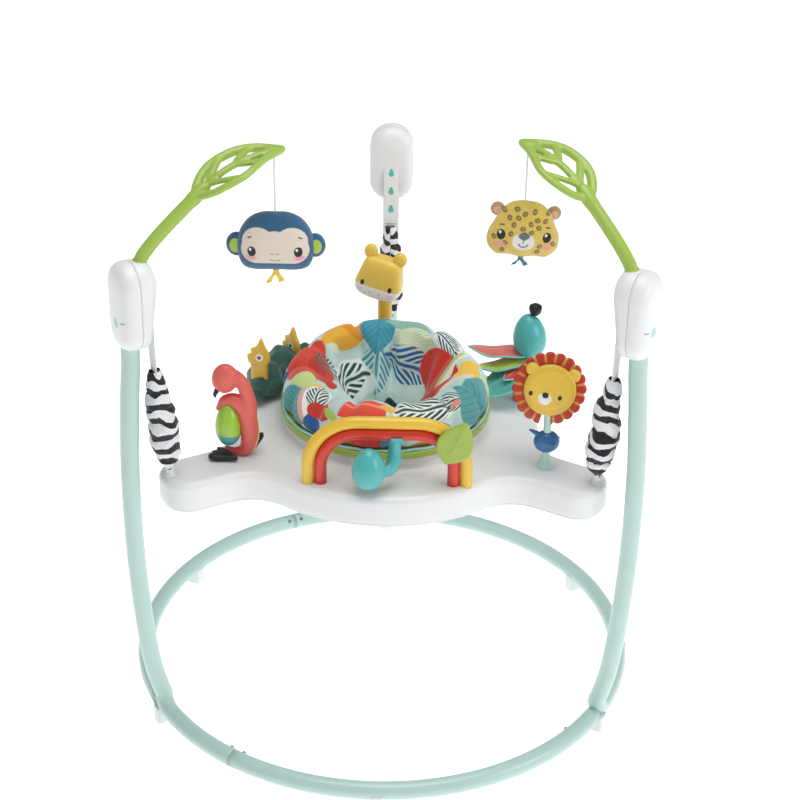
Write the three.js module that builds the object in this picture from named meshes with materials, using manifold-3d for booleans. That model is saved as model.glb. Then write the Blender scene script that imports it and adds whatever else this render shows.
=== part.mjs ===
// A free-standing activity jumper for babies: a ring of steel tube on the floor carries three posts,
// and a plastic tray hangs between them on three springs. A padded seat turns in the tray, toys
// stand round it, and two leaf-shaped arms hold a soft toy each.
// Millimetres, +Z up, the front towards -Y. Heights are drawn from a datum FLOOR below the floor, and
// the whole group is set down by that much, so that its feet stand on z = 0.

import * as THREE from "three";
import { mergeVertices } from "three/addons/utils/BufferGeometryUtils.js";
import Module from "manifold-3d";

const wasm = await Module();
wasm.setup();

// ---------------------------------------------------------------- driving dimensions

const GAP = 0.3; // clearance between pieces that touch
const FLOOR = 8; // height of the floor above the datum

const RING_RADIUS = 400; // centreline of the floor ring
const RING_HEIGHT = 40;
const TUBE_RADIUS = 14;
const TUBE_BORE = 12.7;
const LEG_BEND = 24; // radius of the bend between a post and the ring
const LEG_SWEEP = 26; // degrees of the ring that each leg tube covers
const FOOT = { across: 32, along: 22, height: 30 };
const STATIONS = { rear: 90, left: 210, right: 330 }; // azimuths of the posts

const HOUSING_BOTTOM = 677;
const HOUSING_HEIGHT = 133;
const HOUSING_WIDTH = 75;
const HOUSING_INNER = 380; // radius of the face towards the child
const HOUSING_SEAM = 411;
const HOUSING_OUTER = 439;
const HOUSING_WALL = 2.6;
const HOUSING_ROUND = 19; // how far its edges are rounded off
const POST_TOP_RADIUS = 419;

const ARM_ROOT = 397; // radius of the vertical axis that a leaf arm turns about
const ARM_TURN = { left: 3, right: -19 }; // degrees, how each arm is turned in its socket
const LEAF_HALF_WIDTH = 37;

const STRAP = { width: 26, thickness: 2, topRadius: 391, bottomRadius: 385, top: 708, bottom: 637 };
const SPRING_TOP = { radius: 384, z: 634 };
const SPRING_BOTTOM = { radius: 369, z: 467 };

const TRAY_TOP = 455;
const TRAY_BOTTOM = 407;
const TRAY_SEAM = 411;
const COLLAR = { top: 476, radius: 161, foot: 168 };
const TRAY_BODY_RADIUS = 245;
const LOBE_REACH = 390;
const LOBE_HALF_WIDTH = 45;
const LOBE_FILLET = 70;
const TRAY_HOLE = 146;
const TRAY_WALL = 3.2;

const SEAT_RING = { radius: 166, bore: 134.5, bottom: 424, top: 488 };
const PAD_RADIUS = 167;

const BAR = { x: 6, y: -196, halfSpan: 118, top: 557, tube: 8.8 };

// The box's middle lies behind the ring's axis, because the rear post's housing stands outside it.
const AXIS_Y = (RING_RADIUS + FOOT.across / 2 - HOUSING_OUTER) / 2;

// ---------------------------------------------------------------- materials

const material = (color, roughness, metalness = 0) =>
  new THREE.MeshStandardMaterial({ color, roughness, metalness });

const MINT = material("#b5dbd4", 0.35, 0.1);
const WHITE = material("#eeeff0", 0.35);
const LIME = material("#a9cf5a", 0.4);
const STEEL = material("#b9bcc0", 0.35, 0.9);
const WEBBING = material("#eceeee", 0.9);
const ZEBRA = material("#77757c", 0.95);
const PRINT = material("#8cc9c4", 0.9);
const YELLOW = material("#f0c23d", 0.4);
const RED = material("#d9402c", 0.4);
const TEAL = material("#45a8a8", 0.35);
const PALE_MINT = material("#cfe9e2", 0.35);
const ORANGE_RED = material("#cf4a33", 0.45);
const BLUE = material("#3d7099", 0.4);
const SALMON = material("#e0736a", 0.4);
const BLACK = material("#1d211f", 0.6);
const DARK_GREEN = material("#33695f", 0.9);
const CORAL_FABRIC = material("#f08377", 0.95);
const MONKEY_BLUE = material("#2f6389", 0.95);
const LEOPARD_YELLOW = material("#f1d46a", 0.95);

// ---------------------------------------------------------------- geometry helpers

const rad = THREE.MathUtils.degToRad;

const vector = (x, y, z) => new THREE.Vector3(x, y, z);

function toSolid(geometry) {
  const bare = geometry.clone();
  bare.deleteAttribute("normal");
  bare.deleteAttribute("uv");
  const merged = mergeVertices(bare, 1e-3);
  const vertProperties = new Float32Array(merged.attributes.position.array);
  const triVerts = new Uint32Array(merged.index.array);
  return new wasm.Manifold(new wasm.Mesh({ numProp: 3, vertProperties, triVerts }));
}

function toGeometry(solid) {
  const { vertProperties, triVerts, numProp } = solid.getMesh();
  const positions = new Float32Array((vertProperties.length / numProp) * 3);
  for (let i = 0; i < positions.length / 3; i++) {
    for (let k = 0; k < 3; k++) positions[3 * i + k] = vertProperties[numProp * i + k];
  }
  const geometry = new THREE.BufferGeometry();
  geometry.setAttribute("position", new THREE.BufferAttribute(positions, 3));
  geometry.setIndex(new THREE.BufferAttribute(new Uint32Array(triVerts), 1));
  return geometry;
}

const join = (...parts) =>
  toGeometry(parts.map(toSolid).reduce((sum, part) => sum.add(part)));

const cut = (body, ...tools) =>
  toGeometry(tools.map(toSolid).reduce((left, tool) => left.subtract(tool), toSolid(body)));

function circleShape(radius, sides) {
  const points = Array.from({ length: sides }, (_, i) => {
    const angle = (2 * Math.PI * i) / sides;
    return new THREE.Vector2(radius * Math.cos(angle), radius * Math.sin(angle));
  });
  return new THREE.Shape(points);
}

// A smooth curve whose sections fall on its own points, however far apart they are.
class PointedCurve extends THREE.CatmullRomCurve3 {
  constructor(points) {
    super(points, false, "centripetal");
  }
  getPointAt(share) {
    return this.getPoint(share);
  }
  getTangentAt(share) {
    return this.getTangent(share);
  }
}

const smooth = (points) => new PointedCurve(points);

// A tube with one section at each of the curve's points, solid when it has no bore.
function tube(curve, radius, { bore = 0, sides = 10 } = {}) {
  const section = circleShape(radius, sides);
  if (bore > 0) section.holes.push(circleShape(bore, 6));
  const steps = curve.points.length - 1;
  return new THREE.ExtrudeGeometry(section, { extrudePath: curve, steps, bevelEnabled: false });
}

const lathe = (profile, segments = 32) =>
  new THREE.LatheGeometry(
    profile.map(([r, z]) => new THREE.Vector2(r, z)),
    segments,
  ).rotateX(Math.PI / 2);

const rod = (radius, bottom, top, sides = 16) =>
  new THREE.CylinderGeometry(radius, radius, top - bottom, sides)
    .rotateX(Math.PI / 2)
    .translate(0, 0, (bottom + top) / 2);

const ellipsoid = (rx, ry, rz, across = 10, up = 6) =>
  new THREE.SphereGeometry(1, across, up).rotateX(Math.PI / 2).scale(rx, ry, rz);

// An egg about the Z axis, wider below its middle.
const egg = (radius, halfHeight, across = 12, up = 8) => {
  const profile = Array.from({ length: up + 1 }, (_, i) => {
    const angle = Math.PI * (i / up - 0.5);
    const width = i === 0 || i === up ? 0 : Math.cos(angle) * (1 - 0.14 * Math.sin(angle));
    return [radius * width, halfHeight * Math.sin(angle)];
  });
  return lathe(profile, across);
};

function roundedRect(width, height, radius) {
  const [x, y] = [width / 2, height / 2];
  const shape = new THREE.Shape();
  shape.absarc(x - radius, y - radius, radius, 0, rad(90));
  shape.absarc(-x + radius, y - radius, radius, rad(90), rad(180));
  shape.absarc(-x + radius, -y + radius, radius, rad(180), rad(270));
  shape.absarc(x - radius, -y + radius, radius, rad(270), rad(360));
  shape.closePath();
  return shape;
}

// A plate with rounded edges, lying on z = 0 and rising to the given thickness.
function plate(shape, thickness, bevel, { curveSegments = 4, bevelSegments = 1 } = {}) {
  return new THREE.ExtrudeGeometry(shape, {
    depth: thickness - 2 * bevel,
    bevelThickness: bevel,
    bevelSize: bevel,
    bevelOffset: -bevel,
    bevelEnabled: bevel > 0,
    bevelSegments,
    curveSegments,
  }).translate(0, 0, bevel);
}

const standUp = (geometry) => geometry.rotateX(Math.PI / 2); // from the XY plane to the XZ plane

function piece(name, geometry, surface) {
  const mesh = new THREE.Mesh(geometry, surface);
  mesh.name = name;
  return mesh;
}

// A group at a post: +X points away from the ring's axis, and +Y anticlockwise round it.
function station(azimuth, ...meshes) {
  const group = new THREE.Group();
  group.rotation.z = rad(azimuth);
  group.add(...meshes);
  return group;
}

function placed(x, y, z, ...meshes) {
  const group = new THREE.Group();
  group.position.set(x, y, z);
  group.add(...meshes);
  return group;
}

// ---------------------------------------------------------------- floor ring and posts

const onRing = (degrees) =>
  vector(RING_RADIUS * Math.cos(rad(degrees)), RING_RADIUS * Math.sin(rad(degrees)), RING_HEIGHT);

// From inside the housing down the bowed post, round the bend and along the ring.
function legCurve() {
  const post = [
    [POST_TOP_RADIUS, 738],
    [POST_TOP_RADIUS, 665],
    [425, 590],
    [431, 480],
    [431, 350],
    [426, 240],
    [417, 140],
    [406, 85],
  ].map(([radius, z]) => vector(radius, 0, z));
  const bend = [0, 30, 60].map((turn) => {
    const along = LEG_BEND * (1 - Math.cos(rad(turn)));
    const point = onRing(THREE.MathUtils.radToDeg(along / RING_RADIUS));
    point.z += LEG_BEND * (1 - Math.sin(rad(turn)));
    return point;
  });
  const foot = [3.5, 6, 9, 12.5, 16, 19.5, 23, LEG_SWEEP].map(onRing);
  return smooth([...post, ...bend, ...foot]);
}

const legTube = () => tube(legCurve(), TUBE_RADIUS, { bore: TUBE_BORE });

// A base tube runs from the end of one leg tube to the heel of the next post.
function baseTube() {
  const [from, to] = [LEG_SWEEP + 0.3, 120 - 1.6];
  const steps = 10;
  const points = Array.from({ length: steps + 1 }, (_, i) => onRing(from + ((to - from) * i) / steps));
  const arc = tube(smooth(points), TUBE_RADIUS, { bore: TUBE_BORE });
  const nextLeg = tube(legCurve(), TUBE_RADIUS + GAP).rotateZ(rad(120));
  return cut(arc, nextLeg);
}

// A foot clips under the ring tube, with a saddle that the tube lies in.
function foot() {
  const block = plate(roundedRect(FOOT.across, FOOT.along, 5), FOOT.height, 0, { curveSegments: 1 });
  const saddle = rod(TUBE_RADIUS + 1.8, -30, 30, 10).rotateX(Math.PI / 2);
  saddle.translate(0, 0, RING_HEIGHT - FLOOR);
  return cut(block, saddle).translate(RING_RADIUS, 0, FLOOR);
}

// ---------------------------------------------------------------- housings on the posts

// A rounded slab standing between two radii, with its edge bevelled at the second one.
function housingBlock(from, to, inset, bevel) {
  const corner = HOUSING_WIDTH / 2 - 3 - inset;
  const outline = roundedRect(HOUSING_WIDTH - 2 * inset, HOUSING_HEIGHT - 2 * inset, corner);
  const depth = 2 * Math.abs(to - from);
  const slab = plate(outline, depth, bevel, { curveSegments: 2, bevelSegments: 2 });
  return slab
    .translate(0, 0, -depth / 2)
    .rotateX(Math.PI / 2)
    .rotateZ(Math.PI / 2)
    .translate(from, 0, HOUSING_BOTTOM + HOUSING_HEIGHT / 2);
}

// One shell of a housing: the block from the seam to its face, hollow, with a hole for the post.
function housingShell(seam, face) {
  const away = Math.sign(face - seam);
  const beyondSeam = new THREE.BoxGeometry(80, 100, 200).translate(seam - away * 40, 0, 743);
  const inside = housingBlock(seam, face - away * HOUSING_WALL, HOUSING_WALL, HOUSING_ROUND - 3);
  const post = rod(TUBE_RADIUS + 0.8, 640, 745, 10).translate(POST_TOP_RADIUS, 0, 0);
  return cut(housingBlock(seam, face, 0, HOUSING_ROUND), beyondSeam, inside, post);
}

const housingOuter = () => housingShell(HOUSING_SEAM + GAP / 2, HOUSING_OUTER);

function housingInner(hasArm) {
  const slot = new THREE.BoxGeometry(8, STRAP.width + 4, 40).translate(
    STRAP.topRadius - 1.5,
    0,
    HOUSING_BOTTOM,
  );
  const shell = cut(housingShell(HOUSING_SEAM - GAP / 2, HOUSING_INNER), slot);
  return hasArm ? cut(shell, rod(12.6, 780, 830, 10).translate(ARM_ROOT, 0, 0)) : shell;
}

// ---------------------------------------------------------------- leaf arms and hanging toys

// The arm in its own plane: distance from its root towards the child, and height.
const ARM_PROFILE = smooth(
  [
    [0, 776],
    [0, 806],
    [21, 831],
    [56, 860],
    [92, 887],
    [125, 910],
    [160, 926],
    [195, 934],
    [228, 937],
  ].map(([reach, z]) => vector(-reach, 0, z)),
);
const LEAF_START = 0.5; // where the leaf begins along the arm, as a share of its length

// A point of the leaf: how far along it, from 0 to 1, and how far to the side, from -1 to 1.
function leafPoint(along, side) {
  const point = ARM_PROFILE.getPointAt(LEAF_START + (1 - LEAF_START) * along);
  const width = LEAF_HALF_WIDTH * Math.sin(Math.PI * Math.pow(along, 0.75));
  point.y += side * width;
  point.z -= Math.abs(side) * width * 0.12;
  return point;
}

function leafArm() {
  const spaced = (count, point) =>
    smooth(Array.from({ length: count }, (_, i) => point(i / (count - 1))));
  const stem = tube(spaced(7, (u) => ARM_PROFILE.getPointAt(u * (LEAF_START + 0.02))), 8.8, { sides: 7 });
  const rims = [-1, 1].map((side) => tube(spaced(8, (u) => leafPoint(u, side)), 5, { sides: 4 }));
  const midrib = tube(spaced(5, (u) => leafPoint(u, 0)), 4.6, { sides: 5 });
  const veins = [
    [0.16, 0.4],
    [0.5, 0.72],
  ].flatMap(([from, to]) =>
    [-1, 1].map((side) =>
      tube(spaced(3, (u) => leafPoint(from + (to - from) * u, side * u)), 4, { sides: 4 }),
    ),
  );
  const tip = ellipsoid(9, 9, 5.5, 8, 4).translate(-224, 0, 936);
  return join(stem, ...rims, midrib, ...veins, tip);
}

const STRING = { reach: 216, top: 929.5, bottom: 843, radius: 1 };

const hangingString = () =>
  tube(
    smooth([vector(-STRING.reach, 0, STRING.top), vector(-STRING.reach, 0, STRING.bottom)]),
    STRING.radius,
    { sides: 8 },
  );

// A stuffed head, as wide and tall as given, with a pair of ears.
function plushHead(width, height, depth, ear) {
  const head = ellipsoid(width / 2, depth / 2, height / 2, 14, 7);
  const ears = [-1, 1].map((side) =>
    ellipsoid(ear.radius, 7, ear.radius, 8, 4).translate(side * ear.x, 2, ear.z),
  );
  return join(head, ...ears);
}

// ---------------------------------------------------------------- straps and springs

function strap() {
  const drop = STRAP.top - STRAP.bottom;
  const web = new THREE.BoxGeometry(STRAP.thickness, STRAP.width, drop);
  return web
    .rotateY(Math.atan2(STRAP.topRadius - STRAP.bottomRadius, drop))
    .translate((STRAP.topRadius + STRAP.bottomRadius) / 2, 0, (STRAP.top + STRAP.bottom) / 2);
}

const SPRING_LENGTH = Math.hypot(SPRING_TOP.radius - SPRING_BOTTOM.radius, SPRING_TOP.z - SPRING_BOTTOM.z);

// Puts a piece made along +Z from the origin onto the line that a spring pulls along.
const alongSpring = (geometry) =>
  geometry
    .rotateY(Math.atan2(SPRING_TOP.radius - SPRING_BOTTOM.radius, SPRING_TOP.z - SPRING_BOTTOM.z))
    .translate(SPRING_BOTTOM.radius, 0, SPRING_BOTTOM.z);

function coilSpring() {
  const [coil, wire, turns, margin] = [9, 1.4, 7, 14];
  const perTurn = 6;
  const points = Array.from({ length: turns * perTurn + 1 }, (_, i) => {
    const angle = (2 * Math.PI * i) / perTurn;
    const rise = (SPRING_LENGTH - 2 * margin) * (i / (turns * perTurn));
    return vector(coil * Math.cos(angle), coil * Math.sin(angle), margin + rise);
  });
  return alongSpring(tube(smooth(points), wire, { sides: 4 }));
}

// Gathered fabric over the spring: a sleeve that bulges between its gathers and closes in at its ends.
function springCover() {
  const [gathers, body, bore] = [5, 20.5, 13];
  const rings = gathers * 2;
  const outside = Array.from({ length: rings + 1 }, (_, i) => {
    const end = Math.min(i, rings - i);
    const radius = end === 0 ? bore + 2.5 : body + (i % 2 ? 2.2 : -1.2) - (end === 1 ? 4 : 0);
    return [radius, (SPRING_LENGTH * i) / rings];
  });
  return alongSpring(
    lathe([[bore, 0], ...outside, [bore, SPRING_LENGTH], [bore, 0]], 9),
  );
}

// ---------------------------------------------------------------- tray

// A round body with three lobes, drawn lobe by lobe: side, rounded tip, side, fillet, body arc.
function trayOutline(inset) {
  const halfWidth = LOBE_HALF_WIDTH - inset;
  const bodyRadius = TRAY_BODY_RADIUS - inset;
  const fillet = LOBE_FILLET + inset;
  const reach = LOBE_REACH - inset;
  const tip = halfWidth - 6;
  const filletY = halfWidth + fillet;
  const filletX = Math.sqrt((bodyRadius + fillet) ** 2 - filletY ** 2);
  const turn = Math.atan2(filletY, filletX);
  const points = [];
  const arc = (azimuth, x, y, radius, from, to, count) => {
    for (let i = 0; i <= count; i++) {
      const angle = from + ((to - from) * i) / count;
      const point = new THREE.Vector2(x + radius * Math.cos(angle), y + radius * Math.sin(angle));
      points.push(point.rotateAround(new THREE.Vector2(), azimuth));
    }
  };
  for (const degrees of Object.values(STATIONS)) {
    const azimuth = rad(degrees);
    arc(azimuth, filletX, -filletY, fillet, Math.PI - turn, Math.PI / 2, 3);
    arc(azimuth, reach - tip, -halfWidth + tip, tip, -Math.PI / 2, 0, 3);
    arc(azimuth, reach - tip, halfWidth - tip, tip, 0, Math.PI / 2, 3);
    arc(azimuth, filletX, filletY, fillet, -Math.PI / 2, -Math.PI + turn, 3);
    arc(azimuth, 0, 0, bodyRadius, turn + rad(8), rad(120) - turn - rad(8), 4);
  }
  return points;
}

const trayShape = (inset, hole) => {
  const shape = new THREE.Shape(trayOutline(inset));
  shape.holes.push(circleShape(hole, 24));
  return shape;
};

const slab = (shape, bottom, top) =>
  new THREE.ExtrudeGeometry(shape, { depth: top - bottom, bevelEnabled: false }).translate(0, 0, bottom);

function trayTop() {
  const edge = 5;
  const solid = new THREE.ExtrudeGeometry(trayShape(0, TRAY_HOLE), {
    depth: TRAY_TOP - TRAY_SEAM - edge,
    bevelThickness: edge,
    bevelSize: edge,
    bevelOffset: -edge,
    bevelSegments: 1,
  }).translate(0, 0, TRAY_SEAM);
  const collar = lathe(
    [
      [TRAY_HOLE, TRAY_TOP - 1],
      [COLLAR.foot, TRAY_TOP - 1],
      [COLLAR.radius, COLLAR.top],
      [TRAY_HOLE, COLLAR.top],
      [TRAY_HOLE, TRAY_TOP - 1],
    ],
    24,
  );
  const below = slab(trayShape(-20, TRAY_HOLE - 20), TRAY_SEAM - 20, TRAY_SEAM);
  const hollow = slab(trayShape(TRAY_WALL, TRAY_HOLE + TRAY_WALL), TRAY_SEAM - 1, TRAY_TOP - TRAY_WALL);
  return cut(join(solid, collar), below, hollow);
}

// The pan that closes the tray from below.
const trayBase = () => slab(trayShape(0, TRAY_HOLE), TRAY_BOTTOM, TRAY_SEAM - GAP);

// The lug on a lobe that a spring hooks onto.
const springAnchor = () =>
  lathe(
    [
      [0, TRAY_TOP + GAP],
      [13, TRAY_TOP + GAP],
      [13, TRAY_TOP + 3],
      [6, TRAY_TOP + 6],
      [6, SPRING_BOTTOM.z + 8],
      [0, SPRING_BOTTOM.z + 10],
    ],
    12,
  ).translate(SPRING_BOTTOM.radius - 1, 0, 0);

// ---------------------------------------------------------------- seat

// The flanged ring that rests on the tray and turns in its hole.
const seatRing = () =>
  lathe(
    [
      [SEAT_RING.bore, SEAT_RING.bottom],
      [TRAY_HOLE - 1.5, SEAT_RING.bottom],
      [TRAY_HOLE - 1.5, COLLAR.top + GAP],
      [SEAT_RING.radius, COLLAR.top + GAP],
      [SEAT_RING.radius, SEAT_RING.top - 4],
      [SEAT_RING.radius - 4, SEAT_RING.top],
      [SEAT_RING.bore, SEAT_RING.top],
      [SEAT_RING.bore, SEAT_RING.bottom],
    ],
    24,
  );

// The padded seat's section, from under the bowl, over the rim and down inside, as
// [radius at the back, radius at the front and sides, height].
const PAD_SECTION = [
  [0, 0, 306],
  [60, 60, 310],
  [92, 92, 330],
  [116, 116, 370],
  [130, 130, 425],
  [133, 133, SEAT_RING.top + 1],
  [157, 157, SEAT_RING.top + 1.5],
  [PAD_RADIUS, PAD_RADIUS, 500],
  [PAD_RADIUS, PAD_RADIUS, 516],
  [159, 158, 538],
  [146, 144, 550],
  [132, 126, 550],
  [121, 104, 531],
  [112, 76, 505],
  [98, 54, 480],
  [84, 48, 455],
  [78, 48, 420],
  [72, 48, 385],
  [56, 38, 350],
  [0, 0, 328],
];

// The padded seat: a thick rim whose inside slopes to a narrow well, steeper at the back, and a bowl
// below it with two holes for the legs.
function seatPad() {
  const bowl = lathe(
    PAD_SECTION.map(([back, , z]) => [back, z]),
    24,
  );
  const position = bowl.attributes.position;
  for (let i = 0; i < position.count; i++) {
    const [back, front] = PAD_SECTION[i % PAD_SECTION.length];
    const [x, y] = [position.getX(i), position.getY(i)];
    const share = THREE.MathUtils.smoothstep(y / Math.max(Math.hypot(x, y), 1), 0, 0.9);
    const scale = back ? THREE.MathUtils.lerp(front / back, 1, share) : 1;
    position.setX(i, x * scale);
    position.setY(i, y * scale);
  }
  const legHoles = [-1, 1].map((side) =>
    rod(38, -60, 60, 10)
      .rotateX(rad(-24))
      .rotateY(rad(-side * 16))
      .translate(side * 48, -52, 330),
  );
  return raisedBack(cut(bowl, ...legHoles));
}

// The rim stands higher at the back than at the front.
function raisedBack(geometry) {
  const [start, rise] = [490, 23];
  const position = geometry.attributes.position;
  for (let i = 0; i < position.count; i++) {
    const [x, y, z] = [position.getX(i), position.getY(i), position.getZ(i)];
    const share = THREE.MathUtils.clamp((z - start) / 60, 0, 1);
    const back = (1 + y / Math.max(Math.hypot(x, y), 1)) / 2;
    position.setZ(i, z + share * back * back * rise);
  }
  return geometry;
}

// ---------------------------------------------------------------- toy bar at the front

// An arch of two tubes, one inside the other, standing on the tray.
function archCurve(inset) {
  const corner = 62 - inset;
  const half = BAR.halfSpan - inset;
  const top = BAR.top - inset;
  const side = (sign) =>
    [0, 30, 60, 90].map((turn) =>
      vector(
        sign * (half - corner * (1 - Math.cos(rad(turn)))),
        0,
        top - corner * (1 - Math.sin(rad(turn))),
      ),
    );
  const foot = TRAY_TOP + GAP;
  return smooth([
    vector(-half, 0, foot),
    ...side(-1),
    vector(0, 0, top),
    ...side(1).reverse(),
    vector(half, 0, foot),
  ]);
}

const BAR_PITCH = 2 * BAR.tube + GAP; // between the centrelines of the two tubes
const archTube = (inset) => tube(archCurve(inset), BAR.tube, { sides: 10 });

// A saddle under the inner tube with a hooked stem, and the egg on the stem's end.
const HOOK_X = 14;
const BAR_AXIS_Z = BAR.top - BAR_PITCH;
const EGG = { x: -43, y: -24, z: -41, radius: 23, halfHeight: 33 };

function barHook() {
  const outer = rod(BAR.tube + 5, -8, 8, 12).rotateY(Math.PI / 2);
  const bore = rod(BAR.tube + 0.5, -20, 20, 12).rotateY(Math.PI / 2);
  const above = new THREE.BoxGeometry(40, 40, 30).translate(0, 0, 16);
  const saddle = cut(outer, bore, above);
  const stem = tube(
    smooth([
      vector(0, 0, -13),
      vector(0, -2, -32),
      vector(-3, -8, -46),
      vector(-12, -14, -52),
      vector(-21, -17, -46),
    ]),
    7.5,
    { sides: 8 },
  );
  const seat = egg(EGG.radius + GAP, EGG.halfHeight + GAP).translate(EGG.x, EGG.y, EGG.z);
  return cut(join(saddle, stem), seat);
}

const barEgg = () => egg(EGG.radius, EGG.halfHeight).translate(EGG.x, EGG.y, EGG.z);

// A flat leaf with a stalk end, standing in the XZ plane.
function leafPlate(length, width, thickness, bevel) {
  const shape = new THREE.Shape();
  shape.moveTo(0, -length / 2);
  shape.bezierCurveTo(width * 0.75, -length * 0.35, width * 0.6, length * 0.3, 0, length / 2);
  shape.bezierCurveTo(-width * 0.6, length * 0.3, -width * 0.75, -length * 0.35, 0, -length / 2);
  return standUp(plate(shape, thickness, bevel, { curveSegments: 4 }).translate(0, 0, -thickness / 2));
}

// ---------------------------------------------------------------- toys on the tray

const LION = { x: 246, y: -137 };

const lionStem = () =>
  lathe([
    [0, TRAY_TOP + GAP],
    [19, TRAY_TOP + GAP],
    [17, TRAY_TOP + 6],
    [8, TRAY_TOP + 16],
    [6, TRAY_TOP + 24],
    [6, 549],
    [0, 549],
  ], 12);

// A scalloped disc behind the face.
function lionMane() {
  const [inner, scallop, count, perScallop] = [48, 7, 14, 3];
  const points = Array.from({ length: count * perScallop }, (_, i) => {
    const radius = inner + scallop * Math.abs(Math.sin((Math.PI * i) / perScallop));
    const angle = (2 * Math.PI * i) / (count * perScallop);
    return new THREE.Vector2(radius * Math.cos(angle), radius * Math.sin(angle));
  });
  const disc = standUp(plate(new THREE.Shape(points), 12, 3).translate(0, 0, -6));
  return cut(disc, new THREE.BoxGeometry(18, 30, 44).translate(0, 0, -54));
}

function lionFace() {
  const disc = plate(circleShape(36, 16), 13, 5);
  const ears = [-1, 1].map((side) =>
    plate(circleShape(9.5, 8), 9, 3).translate(side * 29, 27, 0),
  );
  return standUp(join(disc, ...ears));
}

// The blue bead below the head is a small bird with a pointed tail.
function lionBird() {
  const body = ellipsoid(18, 15, 17);
  const tail = ellipsoid(13, 6, 6, 8, 6).rotateY(rad(38)).translate(-15, 0, 11);
  return cut(join(body, tail), rod(6.5, -30, 30, 10));
}

const FLAMINGO = { x: -226, y: -118 };

// The belly is a hoop round the ball; the neck rises from it and bends over to the head.
function flamingoBody() {
  const slab = standUp(plate(circleShape(1, 20), 1, 0).translate(0, 0, -0.5));
  const hoop = slab.clone().scale(31, 30, 44);
  const window = slab.clone().scale(21, 40, 33.5).translate(-6, 0, 2);
  const open = new THREE.BoxGeometry(30, 60, 44).translate(-32, 0, -2);
  const belly = cut(hoop, window, open);
  const neck = tube(
    smooth([vector(20, 0, 26), vector(20, 0, 48), vector(10, 0, 72), vector(-4, 0, 88), vector(-18, 0, 90)]),
    9,
    { sides: 8 },
  );
  const head = ellipsoid(15, 14, 20).rotateY(rad(12)).translate(-22, 0, 85);
  return join(belly, neck, head);
}

const flamingoBall = () => egg(19, 31);

// Two webbed feet side by side.
function flamingoFeet() {
  const toes = [0, 1].map((side) =>
    leafPlate(44, 26, 8, 2)
      .rotateX(Math.PI / 2)
      .rotateZ(rad(68 + 30 * side))
      .translate(-16 + side * 4, 8 - side * 16, 0),
  );
  return join(...toes);
}

// A hedge of dark green leaves along the tray's rear left edge, with a slot for each lizard.
const HEDGE = { radius: 213, from: 128, to: 171, width: 42, height: 60 };
const LIZARDS = [
  { name: "lizard_front", azimuth: 164, neck: 24 },
  { name: "lizard_rear", azimuth: 138, neck: 6 },
];
const LIZARD_PIN = TRAY_TOP + 40; // height of the pins that the lizards tip on
const LIZARD_THICKNESS = 10;

const onHedge = (share) => {
  const angle = rad(HEDGE.from + (HEDGE.to - HEDGE.from) * share);
  return vector(HEDGE.radius * Math.cos(angle), HEDGE.radius * Math.sin(angle), 0);
};

function hedge() {
  const spine = smooth([0, 0.2, 0.4, 0.6, 0.8, 1].map(onHedge));
  const core = tube(spine, HEDGE.width / 2 - 2, { sides: 8 });
  core.scale(1, 1, 1.2).translate(0, 0, TRAY_TOP + HEDGE.width * 0.6);
  const clumps = [0.04, 0.35, 0.65, 0.96].map((share) => {
    const middle = onHedge(share);
    const turn = Math.atan2(middle.y, middle.x);
    return ellipsoid(HEDGE.width / 2, 19, 22, 8, 4)
      .rotateZ(turn)
      .translate(middle.x, middle.y, TRAY_TOP + HEDGE.height - 20);
  });
  const slots = LIZARDS.map(({ azimuth }) =>
    new THREE.BoxGeometry(60, LIZARD_THICKNESS + 2.4, 70)
      .translate(HEDGE.radius, 0, LIZARD_PIN + 18)
      .rotateZ(rad(azimuth)),
  );
  return cut(join(core, ...clumps), ...slots);
}

// A lizard's crested head in outline, on a neck that stands on the pin it tips about.
function lizard(neck) {
  const shape = new THREE.Shape();
  shape.moveTo(-12, -8);
  shape.lineTo(12, -8);
  shape.lineTo(14, neck);
  shape.quadraticCurveTo(20, neck + 14, 15, neck + 26);
  shape.quadraticCurveTo(13, neck + 40, 4, neck + 50);
  shape.quadraticCurveTo(-3, neck + 40, -8, neck + 32);
  shape.quadraticCurveTo(-23, neck + 24, -18, neck + 6);
  shape.closePath();
  return standUp(plate(shape, LIZARD_THICKNESS, 2.5).translate(0, 0, -LIZARD_THICKNESS / 2));
}

const GIRAFFE = { x: -13, y: 203 };

const giraffeNeck = () =>
  lathe([
    [0, TRAY_TOP + GAP],
    [16, TRAY_TOP + GAP],
    [16, TRAY_TOP + 6],
    [12, TRAY_TOP + 20],
    [12, 572],
    [0, 572],
  ], 12);

// A head that widens towards the muzzle, with two round ears.
function giraffeHead() {
  const shape = new THREE.Shape();
  shape.moveTo(-42, 2);
  shape.quadraticCurveTo(-41, -14, -22, -17);
  shape.quadraticCurveTo(0, -21, 22, -17);
  shape.quadraticCurveTo(41, -14, 42, 2);
  shape.quadraticCurveTo(39, 24, 34, 48);
  shape.quadraticCurveTo(0, 54, -34, 48);
  shape.quadraticCurveTo(-39, 24, -42, 2);
  const skull = standUp(plate(shape, 46, 10, { curveSegments: 3 }).translate(0, 0, -23));
  const ears = [-1, 1].map((side) => ellipsoid(11, 8, 12, 8, 4).translate(side * 28, 0, 55));
  const socket = rod(12 + GAP, -60, -8 - GAP, 16);
  return cut(join(skull, ...ears), socket);
}

const BIRD = { x: 230, y: 92, z: 566 };
const WING_ROOT = 513; // height of the leaves' root

const birdBody = () => egg(24, 37).rotateY(rad(8));

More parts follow.
